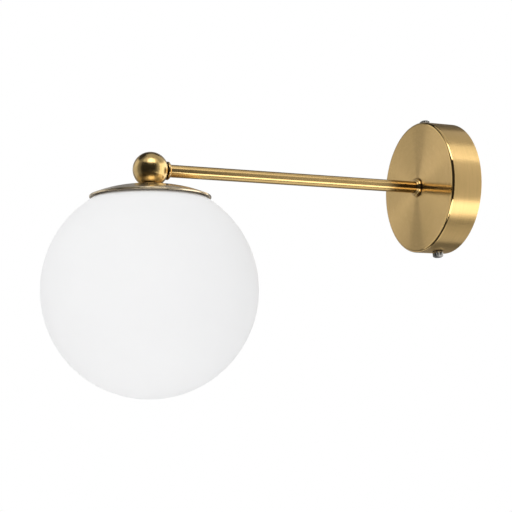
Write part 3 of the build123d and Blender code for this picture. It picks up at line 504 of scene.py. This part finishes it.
def drill_rim(shell, size):
    """Cuts one straight round hole through the canopy's rim on the thumb screws' axis."""
    axis = np.array(screw_direction())
    hole, reach = 2.25 * MM, size.canopy_radius * 1.2
    profile = np.array([(0, -reach), (hole, -reach), (hole, reach), (0, reach)])
    mesh = turned("rim_drill", profile, (0, -size.thumb_height, 0), axis, around=48, closed=False)
    drill = bpy.data.objects.new("rim_drill", closed_up(mesh))
    bpy.context.scene.collection.objects.link(drill)
    cut = shell.modifiers.new("Screw holes", "BOOLEAN")
    cut.operation, cut.solver, cut.object = "DIFFERENCE", "EXACT", drill
    drilled = bpy.data.meshes.new_from_object(shell.evaluated_get(bpy.context.evaluated_depsgraph_get()))
    shell.modifiers.remove(cut)
    shell.data = drilled
    bpy.data.objects.remove(drill)


def collar_brass():
    """Polished brass of both collars."""
    return brushed_brass("polished_brass_collars", (0, 0, 0), OUT, 0.06, 0.0, 0.005)


class SCONCE_OT_wall_collar(bpy.types.Operator):
    """Beaded ring where the rod leaves the canopy."""

    bl_idname = "sconce.wall_collar"
    bl_label = "Wall collar"

    def execute(self, context):
        size = context.scene.sconce_sizes
        bore, back, front = NECK_HOLE, size.canopy_depth, size.collar_front
        shoulder, step = front - 1.0 * MM, 5.8 * MM
        corners = [
            (bore, back, 0.0),
            (size.collar_radius, back, 1.0 * MM),
            (size.collar_radius, shoulder, 1.0 * MM),
            (step, shoulder, 0.15 * MM),
            (step, front, 0.5 * MM),
            (bore, front, 0.0),
        ]
        profile = rounded(corners, steps=14, hold=0.03 * MM)
        turned_piece("wall_collar_ring", "wall_collar", "fixture", "polished_brass", collar_brass(), profile)
        return {"FINISHED"}


class SCONCE_OT_rod(bpy.types.Operator):
    """Straight brass tube with a threaded end behind the canopy's face."""

    bl_idname = "sconce.rod"
    bl_label = "Arm rod"

    def execute(self, context):
        size = context.scene.sconce_sizes
        node_low, node_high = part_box("arm_rod")
        inner_end, outer_end = -node_high.y, -node_low.y
        start, finish_at = size.collar_front, -high("ball_collar").y
        bore, skin = 2.8 * MM, 3.0 * MM  # skin is a radius between the bore and the outside
        corners = [
            (bore, inner_end, 0.2 * MM),
            (NECK, inner_end, 0.4 * MM),
            (NECK, start, 0.0),
            (size.rod_radius, start, 0.15 * MM),
            (size.rod_radius, finish_at, 0.15 * MM),
            (NECK, finish_at, 0.0),
            (NECK, outer_end, 0.4 * MM),
            (bore, outer_end, 0.2 * MM),
        ]

        def threaded(points):
            """Which points are on the outside behind the wall collar's front."""
            return (points[:, 1] < start - 0.2 * MM) & (points[:, 0] > skin)

        profile = rounded(corners, steps=4)
        fine, coarse = dense(profile, 0.12 * MM), dense(profile, 5.0 * MM)
        coarse = coarse[~threaded(coarse)]
        first = int(np.argmax(coarse[:, 0] > skin))
        profile = np.concatenate([coarse[:first], fine[threaded(fine)], coarse[first:]])
        cut = thread(1.25 * MM, 0.6 * MM, inner_end, size.canopy_depth, 0.6 * MM)

        def shape(radius, height, turn):
            return np.where((radius > skin) & (height < start - 0.1 * MM), cut(radius, height, turn), radius)

        finish = brushed_brass("satin_brass_rod", (0, 0, 0), OUT, 0.15, 0.8, 0.02)
        turned_piece("arm_tube", "arm_rod", "fixture", "satin_brass", finish, profile, around=96, shape=shape)
        return {"FINISHED"}


class SCONCE_OT_ball_collar(bpy.types.Operator):
    """Thin chamfered ring between the rod and the ball."""

    bl_idname = "sconce.ball_collar"
    bl_label = "Ball collar"

    def execute(self, context):
        size = context.scene.sconce_sizes
        bore, radius = NECK_HOLE, size.ball_collar_radius
        start, end = -high("ball_collar").y, -low("ball_collar").y
        chamfer = 0.9 * MM
        corners = [
            (bore, start, 0.0),
            (radius - chamfer, start, 0.15 * MM),
            (radius, start + chamfer, 0.2 * MM),
            (radius, end, 0.2 * MM),
            (bore, end, 0.0),
        ]
        profile = rounded(corners, hold=0.03 * MM)
        turned_piece("ball_collar_ring", "ball_collar", "fixture", "polished_brass", collar_brass(), profile)
        return {"FINISHED"}


class SCONCE_OT_ball(bpy.types.Operator):
    """Ball knuckle, turned about the arm, flat where the collar and the cap meet it."""

    bl_idname = "sconce.ball"
    bl_label = "Ball"

    def execute(self, context):
        size = context.scene.sconce_sizes
        radius, reach = size.ball_radius, size.arm_reach
        face = -low("ball_collar").y  # distance out from the wall to the spot face
        least = acos((reach - face) / radius)
        angle = np.linspace(least, pi, 140)
        sphere = np.stack([radius * np.sin(angle), reach - radius * np.cos(angle)], axis=1)
        profile = np.concatenate([[(0.0, face)], sphere])
        profile[-1, 0] = 0.0
        cut = [((0, 0, low("ball_knuckle").z), (0, 0, -1))]
        finish = brushed_brass("brushed_brass_ball", (0, -reach, 0), OUT, 0.23, 0.3, 0.06, tone="aged_brass")
        turned_piece("ball", "ball_knuckle", "fixture", "brushed_brass", finish, profile, cut=cut, closed=False)
        return {"FINISHED"}


class SCONCE_OT_cap(bpy.types.Operator):
    """Shallow spun dish over the globe's opening."""

    bl_idname = "sconce.cap"
    bl_label = "Cap"

    def execute(self, context):
        size = context.scene.sconce_sizes
        hole, flat, wall, curve = 5.1 * MM, 6.0 * MM, size.cap_wall, size.cap_curve
        top, bottom = high("globe_cap").z, low("globe_cap").z
        inner = size.cap_radius - wall

        def dome(radius, deep):
            return top - curve + np.sqrt((curve - deep) ** 2 - (radius - flat) ** 2)

        over = np.linspace(flat, size.cap_radius, 20)
        under = np.linspace(inner, flat, 20)
        corners = [(hole, top, 0.0)]
        corners += [(r, z, 0.0) for r, z in zip(over[:-1], dome(over[:-1], 0.0))]
        corners += [
            (size.cap_radius, dome(size.cap_radius, 0.0), 0.8 * MM),
            (size.cap_radius, bottom, 0.3 * MM),
            (inner, bottom, 0.3 * MM),
        ]
        corners += [(r, z, 0.0) for r, z in zip(under, dome(under, wall))]
        corners += [(hole, top - wall, 0.0)]
        profile = rounded(corners, steps=8, hold=0.03 * MM)
        centre = (0, -size.arm_reach, 0)
        finish = brushed_brass("satin_brass_cap", centre, UP, 0.2, 0.5, 0.02, tone="pale_brass")
        turned_piece("cap_dish", "globe_cap", "fixture", "satin_brass", finish, profile, centre, UP, around=256)
        return {"FINISHED"}


class SCONCE_OT_globe(bpy.types.Operator):
    """Blown opal globe: two spheres joined by a rounded lip at the opening."""

    bl_idname = "sconce.globe"
    bl_label = "Globe"

    def execute(self, context):
        size = context.scene.sconce_sizes
        radius, opening = size.globe_radius, size.globe_opening
        middle = low("globe_glass").z + radius

        def sphere(reach, count):
            """Circle of this reach from its lowest point up to the opening: (reach sin t, middle - reach cos t)."""
            t = np.linspace(0, pi - np.arcsin(opening / reach), count)
            return np.stack([reach * np.sin(t), middle - reach * np.cos(t)], axis=1)

        outer, inner = sphere(radius, 110), sphere(radius - size.globe_wall, 70)[::-1]
        corners = [(r, z, 0.0) for r, z in outer] + [(r, z, 0.0) for r, z in inner]
        corners[len(outer) - 1] = (*outer[-1], 0.5 * MM)
        corners[len(outer)] = (*inner[0], 0.5 * MM)
        profile = rounded(corners, closed=False, steps=6, hold=0.02 * MM)
        profile[[0, -1], 0] = 0.0
        centre = (0, -size.arm_reach, 0)
        finish = opal_glass("opal_glass", context.scene.sconce_colours.opal, 0.72)
        looks = ("globe", "opal_glass", finish)
        turned_piece(
            "globe_shell", "globe_glass", *looks, profile, centre, UP, sharp=60, around=256, closed=False
        )
        return {"FINISHED"}


class SCONCE_OT_thumb_screws(bpy.types.Operator):
    """Two knurled screws that hold the canopy on its bracket."""

    bl_idname = "sconce.thumb_screws"
    bl_label = "Thumb screws"

    def execute(self, context):
        size = context.scene.sconce_sizes
        direction = np.array(screw_direction())
        tones = context.scene.sconce_colours
        head_base = size.canopy_radius + 0.2 * MM
        head_top, crown = head_base + 4.0 * MM, head_base + 4.45 * MM
        shank_end = size.canopy_radius - 12.4 * MM
        flutes, depth = 16, 0.45 * MM
        shank, past_shank, bevel = 1.95 * MM, 2.2 * MM, size.thumb_head - 0.5 * MM
        outline = [
            (0.0, shank_end, 0.0),
            (1.5 * MM, shank_end, 0.0),
            (shank, shank_end + 0.5 * MM, 0.1 * MM),
            (shank, head_base, 0.0),
            (bevel, head_base, 0.0),
            (size.thumb_head, head_base + 0.35 * MM, 0.2 * MM),
            (size.thumb_head, head_top - 0.35 * MM, 0.2 * MM),
            (bevel, head_top, 0.15 * MM),
            (3.2 * MM, head_top, 0.1 * MM),
            (2.9 * MM, crown, 0.2 * MM),
            (0.0, crown, 0.0),
        ]
        profile = rounded(outline, closed=False, steps=4, hold=0.02 * MM)
        narrow = (profile[:, 0] < past_shank) & (profile[:, 1] < head_base)
        split = int(np.nonzero(narrow)[0][-1]) + 2
        profile = np.concatenate(
            [dense(profile[:split], 0.09 * MM, closed=False), dense(profile[split:], 0.5 * MM, closed=False)]
        )
        cut = thread(0.7 * MM, 0.3 * MM, shank_end, head_base - 1.5 * MM, 0.5 * MM)

        def shape(radius, height, turn):
            """Straight knurl on the head, a sharp ridge between round flutes, and a thread on the shank."""
            ridge = np.abs(np.sin(turn * flutes / 2))
            near_rim = np.clip((radius - 3.3 * MM) / (0.5 * MM), 0, 1) * (height > head_base - 0.05 * MM)
            head = radius - depth * ridge**1.5 * near_rim
            on_shank = (radius < past_shank) & (radius > 1.2 * MM) & (height < head_base - 0.1 * MM)
            return np.where(on_shank, cut(radius, height, turn), head)

        # painted shade in the hollows of the knurl and thread
        finish = plain_metal("nickel_screws", tones.screw, 0.07, 0.08, 0.01, hollow=0.5 * MM)
        turning = {"centre": (0, -size.thumb_height, 0), "sharp": 50, "around": 160, "closed": False, "shape": shape}
        for name, body, side in (("thumb_screw_top", "top_screw", 1), ("thumb_screw_bottom", "bottom_screw", -1)):
            axis = direction * side
            turned_piece(name + "_knurled", name, body, "nickel", finish, profile, axis=axis, **turning)
        return {"FINISHED"}


class SCONCE_OT_lamp(bpy.types.Operator):
    """Frosted ball lamp: glass, plastic collar and a screw cap with a rolled thread."""

    bl_idname = "sconce.lamp"
    bl_label = "Lamp"

    def execute(self, context):
        size, tones = context.scene.sconce_sizes, context.scene.sconce_colours
        centre = (0, -size.arm_reach, 0)
        bottom, radius, wall = low("bulb_envelope").z, size.bulb_radius, 1.0 * MM
        middle, flare, neck = bottom + radius, high("bulb_envelope").z, 11.0 * MM
        rise = radians(30)

        def ball(reach):
            """Circle from its lowest point round to the flare: (reach sin t, middle - reach cos t)."""
            t = np.linspace(0, pi / 2 + rise, 60)
            return np.stack([reach * np.sin(t), middle - reach * np.cos(t)], axis=1)

        profile = np.concatenate([ball(radius), [(neck, flare), (neck - wall, flare)], ball(radius - wall)[::-1]])
        profile[[0, -1], 0] = 0.0
        profile = dense(profile, 2 * MM, closed=False)
        looks = ("bulb", "opal_bulb", opal_glass("opal_lamp", tones.frosted, 0.35))
        turned_piece(
            "lamp_glass", "bulb_envelope", *looks, profile, centre, UP, sharp=60, around=128, closed=False
        )

        top, bottom, cap_radius = high("bulb_collar").z, low("bulb_collar").z, high("bulb_cap").x
        lip = cap_radius + 0.1 * MM
        corners = [
            (cap_radius - 1.5 * MM, top, 0.0),
            (lip, top, 0.1 * MM),
            (lip + (neck - cap_radius) * 0.1, top - 0.9 * MM, 0.0),
            (neck, bottom, 0.25 * MM),
            (neck - 1.5 * MM, bottom, 0.1 * MM),
        ]
        profile = dense(rounded(corners, hold=0.03 * MM), 1.5 * MM)
        looks = ("bulb", "white_plastic", moulded("white_plastic", tones.plastic, 0.38))
        turned_piece("lamp_collar", "bulb_collar", *looks, profile, centre, UP, around=128)

        top, bottom = high("bulb_cap").z, low("bulb_cap").z
        tip, taper, sheet = cap_radius - 0.9 * MM, 1.8 * MM, 0.5 * MM
        hole = 2.5 * MM
        corners = [
            (hole, top, 0.0),
            (tip, top, 0.3 * MM),
            (cap_radius, top - taper, 0.4 * MM),
            (cap_radius, bottom, 0.0),
            (cap_radius - sheet, bottom, 0.0),
            (cap_radius - sheet, top - taper, 0.0),
            (tip - sheet, top - sheet, 0.0),
            (hole, top - sheet, 0.0),
        ]
        profile = dense(rounded(corners, steps=4, hold=0.02 * MM), 0.16 * MM)
        roll = thread(2.82 * MM, 0.75 * MM, bottom + 1.5 * MM, top - taper + 0.6 * MM, 1.2 * MM)

        def rolled(radius, height, turn):
            """Thread round the cap's side, and none on its end."""
            return np.where(radius > 5.2 * MM, roll(radius, height, turn), radius)

        looks = ("bulb", "nickel", plain_metal("nickel_cap", tones.nickel, 0.24, 0.1, 0.02))
        turned_piece("lamp_screw_cap", "bulb_cap", *looks, profile, centre, UP, around=96, shape=rolled)
        return {"FINISHED"}


class SCONCE_OT_lampholder(bpy.types.Operator):
    """Two-part plastic lampholder under the cap."""

    bl_idname = "sconce.lampholder"
    bl_label = "Lampholder"

    def execute(self, context):
        size, tones = context.scene.sconce_sizes, context.scene.sconce_colours
        centre = (0, -size.arm_reach, 0)
        looks = ("fixture", "white_plastic", moulded("white_plastic", tones.plastic, 0.38))
        radius, wall = high("lampholder_cap").x, 1.7 * MM
        top, joint = high("lampholder_cap").z, low("lampholder_cap").z
        cone_top = top - 4.0 * MM
        cone_bottom, shelf = cone_top - 6.0 * MM, top - 7.0 * MM
        hub, entry = 7.0 * MM, 5.05 * MM
        corners = [
            (entry, top, 0.0),
            (hub, top, 0.4 * MM),
            (hub, cone_top, 0.8 * MM),
            (radius, cone_bottom, 1.7 * MM),
            (radius, joint, 0.25 * MM),
            (radius - wall, joint, 0.0),
            (radius - wall, cone_bottom - wall / 2, 0.0),
            (hub, shelf, 0.0),
            (entry, shelf, 0.0),
        ]
        profile = dense(rounded(corners), 2 * MM)
        turned_piece("lampholder_top", "lampholder_cap", *looks, profile, centre, UP, around=160)

        spigot, bottom = high("lampholder_skirt").z, low("lampholder_skirt").z
        outer, inner = radius - wall - 0.1 * MM, radius - wall - 1.5 * MM
        bore, seat = 8.2 * MM, low("lampholder_insert").z
        corners = [
            (outer, spigot, 0.0),
            (outer, joint, 0.0),
            (radius, joint, 0.25 * MM),
            (radius - 0.5 * MM, bottom, 1.0 * MM),
            (bore, bottom, 0.4 * MM),
            (bore, seat, 0.0),
            (inner, seat, 0.0),
            (inner, spigot, 0.0),
        ]
        ribs = 36

        def grip(r, h, t):
            """Shallow grip flutes round the lower half of the skirt."""
            band = np.clip((h - bottom - 3 * MM) / MM, 0, 1) * np.clip((bottom + 15 * MM - h) / MM, 0, 1)
            return r - 0.35 * MM * band * (r > 13 * MM) * (0.5 - 0.5 * np.cos(ribs * t)) ** 2

        profile = dense(rounded(corners), 1.0 * MM)
        turned_piece("lampholder_mouth", "lampholder_skirt", *looks, profile, centre, UP, around=288, shape=grip)
        return {"FINISHED"}


class SCONCE_OT_hardware(bpy.types.Operator):
    """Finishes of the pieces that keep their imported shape: steel, brass, ceramic, plastic and wire."""

    bl_idname = "sconce.hardware"
    bl_label = "Hardware finishes"

    def execute(self, context):
        tones = context.scene.sconce_colours
        zinc = plain_metal("zinc_plate", tones.zinc, 0.34, 0.18)
        brass = plain_metal("plain_brass", tones.contact, 0.3, 0.12)
        finishes = {
            zinc: "wall_bracket rod_lock_washer rod_nut ball_nipple glass_holder clip_rivets cap_lock_washer cap_nut "
            "terminal_screws block_screws earth_washer earth_screw",
            plain_metal("spring_steel", tones.spring, 0.26, 0.1): "glass_clips",
            brass: "lampholder_terminals lampholder_thread_shell lampholder_contact terminal_inserts",
            moulded("ceramic", tones.ceramic, 0.3, Coat_Weight=0.3): "lampholder_insert",
            plain_metal("tin", tones.tin, 0.3, 0.12): "earth_tag bulb_contact",
            moulded("black_glass", tones.vitrite, 0.12): "bulb_insulator",
            moulded(
                "milky_plastic", tones.clear, 0.3, Subsurface_Weight=0.3, Subsurface_Scale=1.5 * MM
            ): "terminal_block",
            moulded("brown_wire", tones.brown, 0.42): "live_wire",
            moulded("blue_wire", tones.blue, 0.42): "neutral_wire",
            striped_wire("green_yellow_wire", tones.green, tones.yellow): "earth_wire",
        }
        for finish, names in finishes.items():
            for name in names.split():
                materials = NODES[name].data.materials
                materials.clear()
                materials.append(finish)
        return {"FINISHED"}


# ---------------------------------------------------------------- stage
# Camera: the photograph's viewing place, its right and up directions, and its lens.
CAMERA_PLACE = (0.797208, -0.506179, -0.148848)
CAMERA_RIGHT = (0.39738254, 0.91762871, -0.00668291)
CAMERA_UP = (0.09844310, -0.03538831, 0.99451326)
CAMERA_LENS = 85.54  # mm, on a sensor 36 mm wide

ARM_MIDDLE = Vector((0, -0.12, 0))
FLOOR_REACH = 6.0
FLOOR_FADE = (0.8, 1.0, 1.0, 2.5)  # share of plain white near and far, and the distances where they hold

# Soft boxes: azimuth and elevation from the middle of the arm, distance, width, height, brightness and colour. A
# box's energy is its brightness times its area times pi.
SOFT_BOXES = {
    "light_above": (25, 52, 1.5, 1.5, 0.75, 0.3, (1.0, 0.99, 0.97)),
    "light_above_arm_end": (-48, 52, 1.5, 1.5, 0.75, 1.0, (1.0, 0.99, 0.97)),
    "light_below": (25, -34, 1.5, 1.5, 0.55, 0.5, (1.0, 0.985, 0.97)),
    "light_below_arm_end": (-48, -34, 1.5, 1.5, 0.55, 1.6, (1.0, 0.985, 0.97)),
}
# Cards, seen only in reflections: azimuth range, elevation range, and how light each is
CARDS = {
    "reflector_above": ((-48, 8), (38, 66), 4.2),
    "reflector_above_arm_end": ((-85, -50), (38, 66), 1.0),
    "reflector_above_side": ((8, 45), (38, 66), 1.1),
    "reflector_above_wall": ((45, 75), (38, 66), 0.5),
    "reflector_below": ((-62, 60), (-48, -25), 2.7),
    "card_below": ((-62, 14), (-60, -48), 0.05),
    "card_below_side": ((14, 60), (-60, -48), 0.4),
    "card_camera": ((-85, 16), (-25, 38), 0.03),
    "card_beside_camera": ((16, 29), (-25, 38), 0.5),
    "card_wall_side": ((29, 37), (-25, 38), 0.5),
    "card_beyond_wall": ((37, 125), (-25, 34), 2.3),
    "card_above_wall": ((75, 125), (34, 66), 0.8),
    "card_below_wall": ((60, 125), (-46, -25), 0.95),
    "card_below_wall_low": ((60, 125), (-60, -46), 1.0),
    "card_end_of_arm": ((-108, -85), (-25, 66), 0.28),
    "card_end_of_arm_low": ((-108, -62), (-60, -25), 0.04),
    "card_left_top": ((-180, -108), (36, 66), 0.04),
    "card_left_high": ((-146, -108), (14, 36), 1.0),
    "card_left": ((-147, -108), (3, 14), 0.86),
    "card_left_low": ((-144, -108), (-30, 3), 0.82),
    "card_left_floor": ((-147, -108), (-60, -30), 0.04),
    "card_back_low": ((-165, -144), (-60, 3), 0.25),
    "card_back_far_low": ((-180, -163), (-60, 3), 0.95),
    "card_back": ((-180, -147), (3, 14), 0.66),
    "card_back_high": ((-164, -146), (14, 36), 0.38),
    "card_back_far_high": ((-180, -164), (14, 36), 0.3),
    "card_zenith": ((-180, 180), (66, 90), 0.65),
    "card_floor": ((-180, 14), (-90, -60), 0.05),
    "card_floor_side": ((14, 40), (-90, -60), 0.4),
    "card_floor_wall": ((40, 140), (-90, -60), 1.0),
    "card_floor_behind": ((140, 180), (-90, -60), 0.3),
    "card_behind": ((125, 180), (-46, 24), 0.25),
    "card_behind_low": ((125, 180), (-60, -46), 0.3),
    "card_behind_middle": ((125, 180), (24, 46), 0.35),
    "card_behind_high": ((125, 180), (46, 66), 0.04),
}
CARD_REACH = 1.9
LOW_CARD_REACH = 1.25  # for a card that would otherwise be under the floor
LOWEST_FAR_CARD = -43  # degrees, under which a card stands at the low reach


def direction(azimuth, elevation):
    """Unit direction: azimuth from +X towards the wall, elevation above the horizon, both in degrees."""
    azimuth, elevation = np.radians(azimuth), np.radians(elevation)
    return np.cos(azimuth) * np.cos(elevation), np.sin(azimuth) * np.cos(elevation), np.sin(elevation)


def facing(place, target):
    """Turn that points an object's -Z from place at target, with its Y as near up as it goes."""
    return (Vector(target) - Vector(place)).to_track_quat("-Z", "Y").to_matrix().to_4x4()


class SCONCE_OT_stage(bpy.types.Operator):
    """Pale floor, white surroundings, soft boxes, grey cards and the camera."""

    bl_idname = "sconce.stage"
    bl_label = "Stage"

    def execute(self, context):
        scene, stage = context.scene, context.scene.sconce_stage
        scene.view_settings.view_transform = "Standard"
        self.surroundings(scene, stage)
        self.floor(scene, stage)
        for name, (azimuth, elevation, reach, width, height, brightness, tint) in SOFT_BOXES.items():
            lamp = bpy.data.lights.new(name, "AREA")
            lamp.shape, lamp.size, lamp.size_y = "RECTANGLE", width, height
            lamp.energy, lamp.color = brightness * width * height * pi, tint
            place = ARM_MIDDLE + Vector(direction(azimuth, elevation)) * reach
            box = bpy.data.objects.new(name, lamp)
            box.matrix_world = Matrix.Translation(place) @ facing(place, ARM_MIDDLE)
            box.visible_camera = box.visible_glossy = False
            scene.collection.objects.link(box)
        for name, (azimuths, elevations, light) in CARDS.items():
            card = bpy.data.objects.new(name, self.card(name, azimuths, elevations, light))
            card.visible_camera = card.visible_diffuse = card.visible_shadow = False
            scene.collection.objects.link(card)
        self.camera(scene)
        return {"FINISHED"}

    def card(self, name, azimuths, elevations, light):
        """Part of a sphere round the object: reach times direction(azimuth, elevation), evenly lit."""
        across = np.linspace(*azimuths, 25)[None]
        upward = np.linspace(*elevations, 13)[:, None]
        reach = CARD_REACH if elevations[0] > LOWEST_FAR_CARD else LOW_CARD_REACH
        points = reach * np.stack(np.broadcast_arrays(*direction(across, upward)), axis=-1)
        mesh = bpy.data.meshes.new(name)
        rows, columns = points.shape[:2]
        i, j = np.meshgrid(np.arange(rows - 1), np.arange(columns - 1), indexing="ij")
        first = (i * columns + j).ravel()
        faces = np.stack([first, first + 1, first + columns + 1, first + columns], axis=1)
        mesh.from_pydata(points.reshape(-1, 3), [], faces)
        material = bpy.data.materials.new(name)
        material.use_nodes = True
        tree = material.node_tree
        grey = node(tree, "Emission", {"Color": (1, 1, 1, 1), "Strength": light})
        tree.links.new(grey.outputs["Emission"], tree.nodes["Material Output"].inputs["Surface"])
        mesh.materials.append(material)
        return mesh

    def surroundings(self, scene, stage):
        """White to the camera, to reflections and through glass; a softer level for matt surfaces."""
        world = bpy.data.worlds.new("white_surroundings")
        world.use_nodes = True
        tree = world.node_tree
        tree.nodes.clear()
        strength = ranged(tree, seen_directly(tree), stage.sky, 1.0)
        back = node(tree, "Background", {"Color": (1, 1, 1, 1), "Strength": strength})
        out = node(tree, "OutputWorld", {"Surface": back.outputs["Background"]})
        out.is_active_output = True
        scene.world = world

    def floor(self, scene, stage):
        """Round floor that keeps the object's shadow and fades to plain white away from it."""
        profile = np.array([(0.0, 0.0), (FLOOR_REACH * 0.5, 0.0), (FLOOR_REACH, 0.0)])
        mesh = closed_up(turned("floor", profile, (0, 0, -stage.floor_drop), UP, around=96, closed=False))
        if mesh.polygons[0].normal.z < 0:
            mesh.flip_normals()
        material = bpy.data.materials.new("pale_floor")
        material.use_nodes = True
        tree = material.node_tree
        shader, out = tree.nodes["Principled BSDF"], tree.nodes["Material Output"]
        set_plain(shader, Base_Color=(0.9, 0.9, 0.9, 1), Roughness=0.9)
        place = node(tree, "TexCoord").outputs["Object"]
        away = node(tree, "VectorMath", {0: place}, operation="LENGTH").outputs["Value"]
        amount = maths(tree, "MULTIPLY", ranged(tree, away, *FLOOR_FADE), seen_directly(tree))
        white = node(tree, "Emission", {"Color": (1, 1, 1, 1), "Strength": 1.0})
        both = node(tree, "MixShader", {0: amount, 1: shader.outputs["BSDF"], 2: white.outputs["Emission"]})
        tree.links.new(both.outputs["Shader"], out.inputs["Surface"])
        mesh.materials.append(material)
        floor = bpy.data.objects.new("floor", mesh)
        scene.collection.objects.link(floor)

    def camera(self, scene):
        """The photograph's viewing place and lens."""
        right, up = Vector(CAMERA_RIGHT), Vector(CAMERA_UP)
        back = right.cross(up)
        turn = Matrix((right, up, back)).transposed().to_4x4()
        data = bpy.data.cameras.new("camera")
        data.sensor_width, data.lens = 36.0, CAMERA_LENS
        camera = bpy.data.objects.new("camera", data)
        camera.matrix_world = Matrix.Translation(CAMERA_PLACE) @ turn
        scene.collection.objects.link(camera)
        scene.camera = camera


def seen_directly(tree):
    """1 for rays from the camera, from a reflection or through glass, and 0 for others."""
    path = node(tree, "LightPath").outputs
    first = maths(tree, "MAXIMUM", path["Is Camera Ray"], path["Is Glossy Ray"])
    return maths(tree, "MAXIMUM", first, path["Is Transmission Ray"])


class SCONCE_PT_panel(bpy.types.Panel):
    """Sizes, colours and one button for each piece."""

    bl_idname = "SCONCE_PT_panel"
    bl_label = "Globe wall sconce"
    bl_space_type = "VIEW_3D"
    bl_region_type = "UI"
    bl_category = "Sconce"

    def draw(self, context):
        for group in (context.scene.sconce_sizes, context.scene.sconce_colours, context.scene.sconce_stage):
            for key in group.__annotations__:
                self.layout.prop(group, key)
        for operator in OPERATORS:
            self.layout.operator(operator.bl_idname)


OPERATORS = (
    SCONCE_OT_canopy,
    SCONCE_OT_wall_collar,
    SCONCE_OT_rod,
    SCONCE_OT_ball_collar,
    SCONCE_OT_ball,
    SCONCE_OT_cap,
    SCONCE_OT_globe,
    SCONCE_OT_thumb_screws,
    SCONCE_OT_lamp,
    SCONCE_OT_lampholder,
    SCONCE_OT_hardware,
    SCONCE_OT_stage,
)
GROUPS = {"sconce_sizes": SconceSizes, "sconce_colours": SconceColours, "sconce_stage": SconceStage}


def register():
    for group in GROUPS.values():
        bpy.utils.register_class(group)
    for name, group in GROUPS.items():
        setattr(bpy.types.Scene, name, bpy.props.PointerProperty(type=group))
    for made in (*OPERATORS, SCONCE_PT_panel):
        bpy.utils.register_class(made)


def unregister():
    for made in (SCONCE_PT_panel, *reversed(OPERATORS)):
        bpy.utils.unregister_class(made)
    for name in GROUPS:
        delattr(bpy.types.Scene, name)
    for group in GROUPS.values():
        bpy.utils.unregister_class(group)


def main():
    register()
    for operator in OPERATORS:
        area, name = operator.bl_idname.split(".")
        getattr(getattr(bpy.ops, area), name)()


if __name__ == "__main__":
    main()
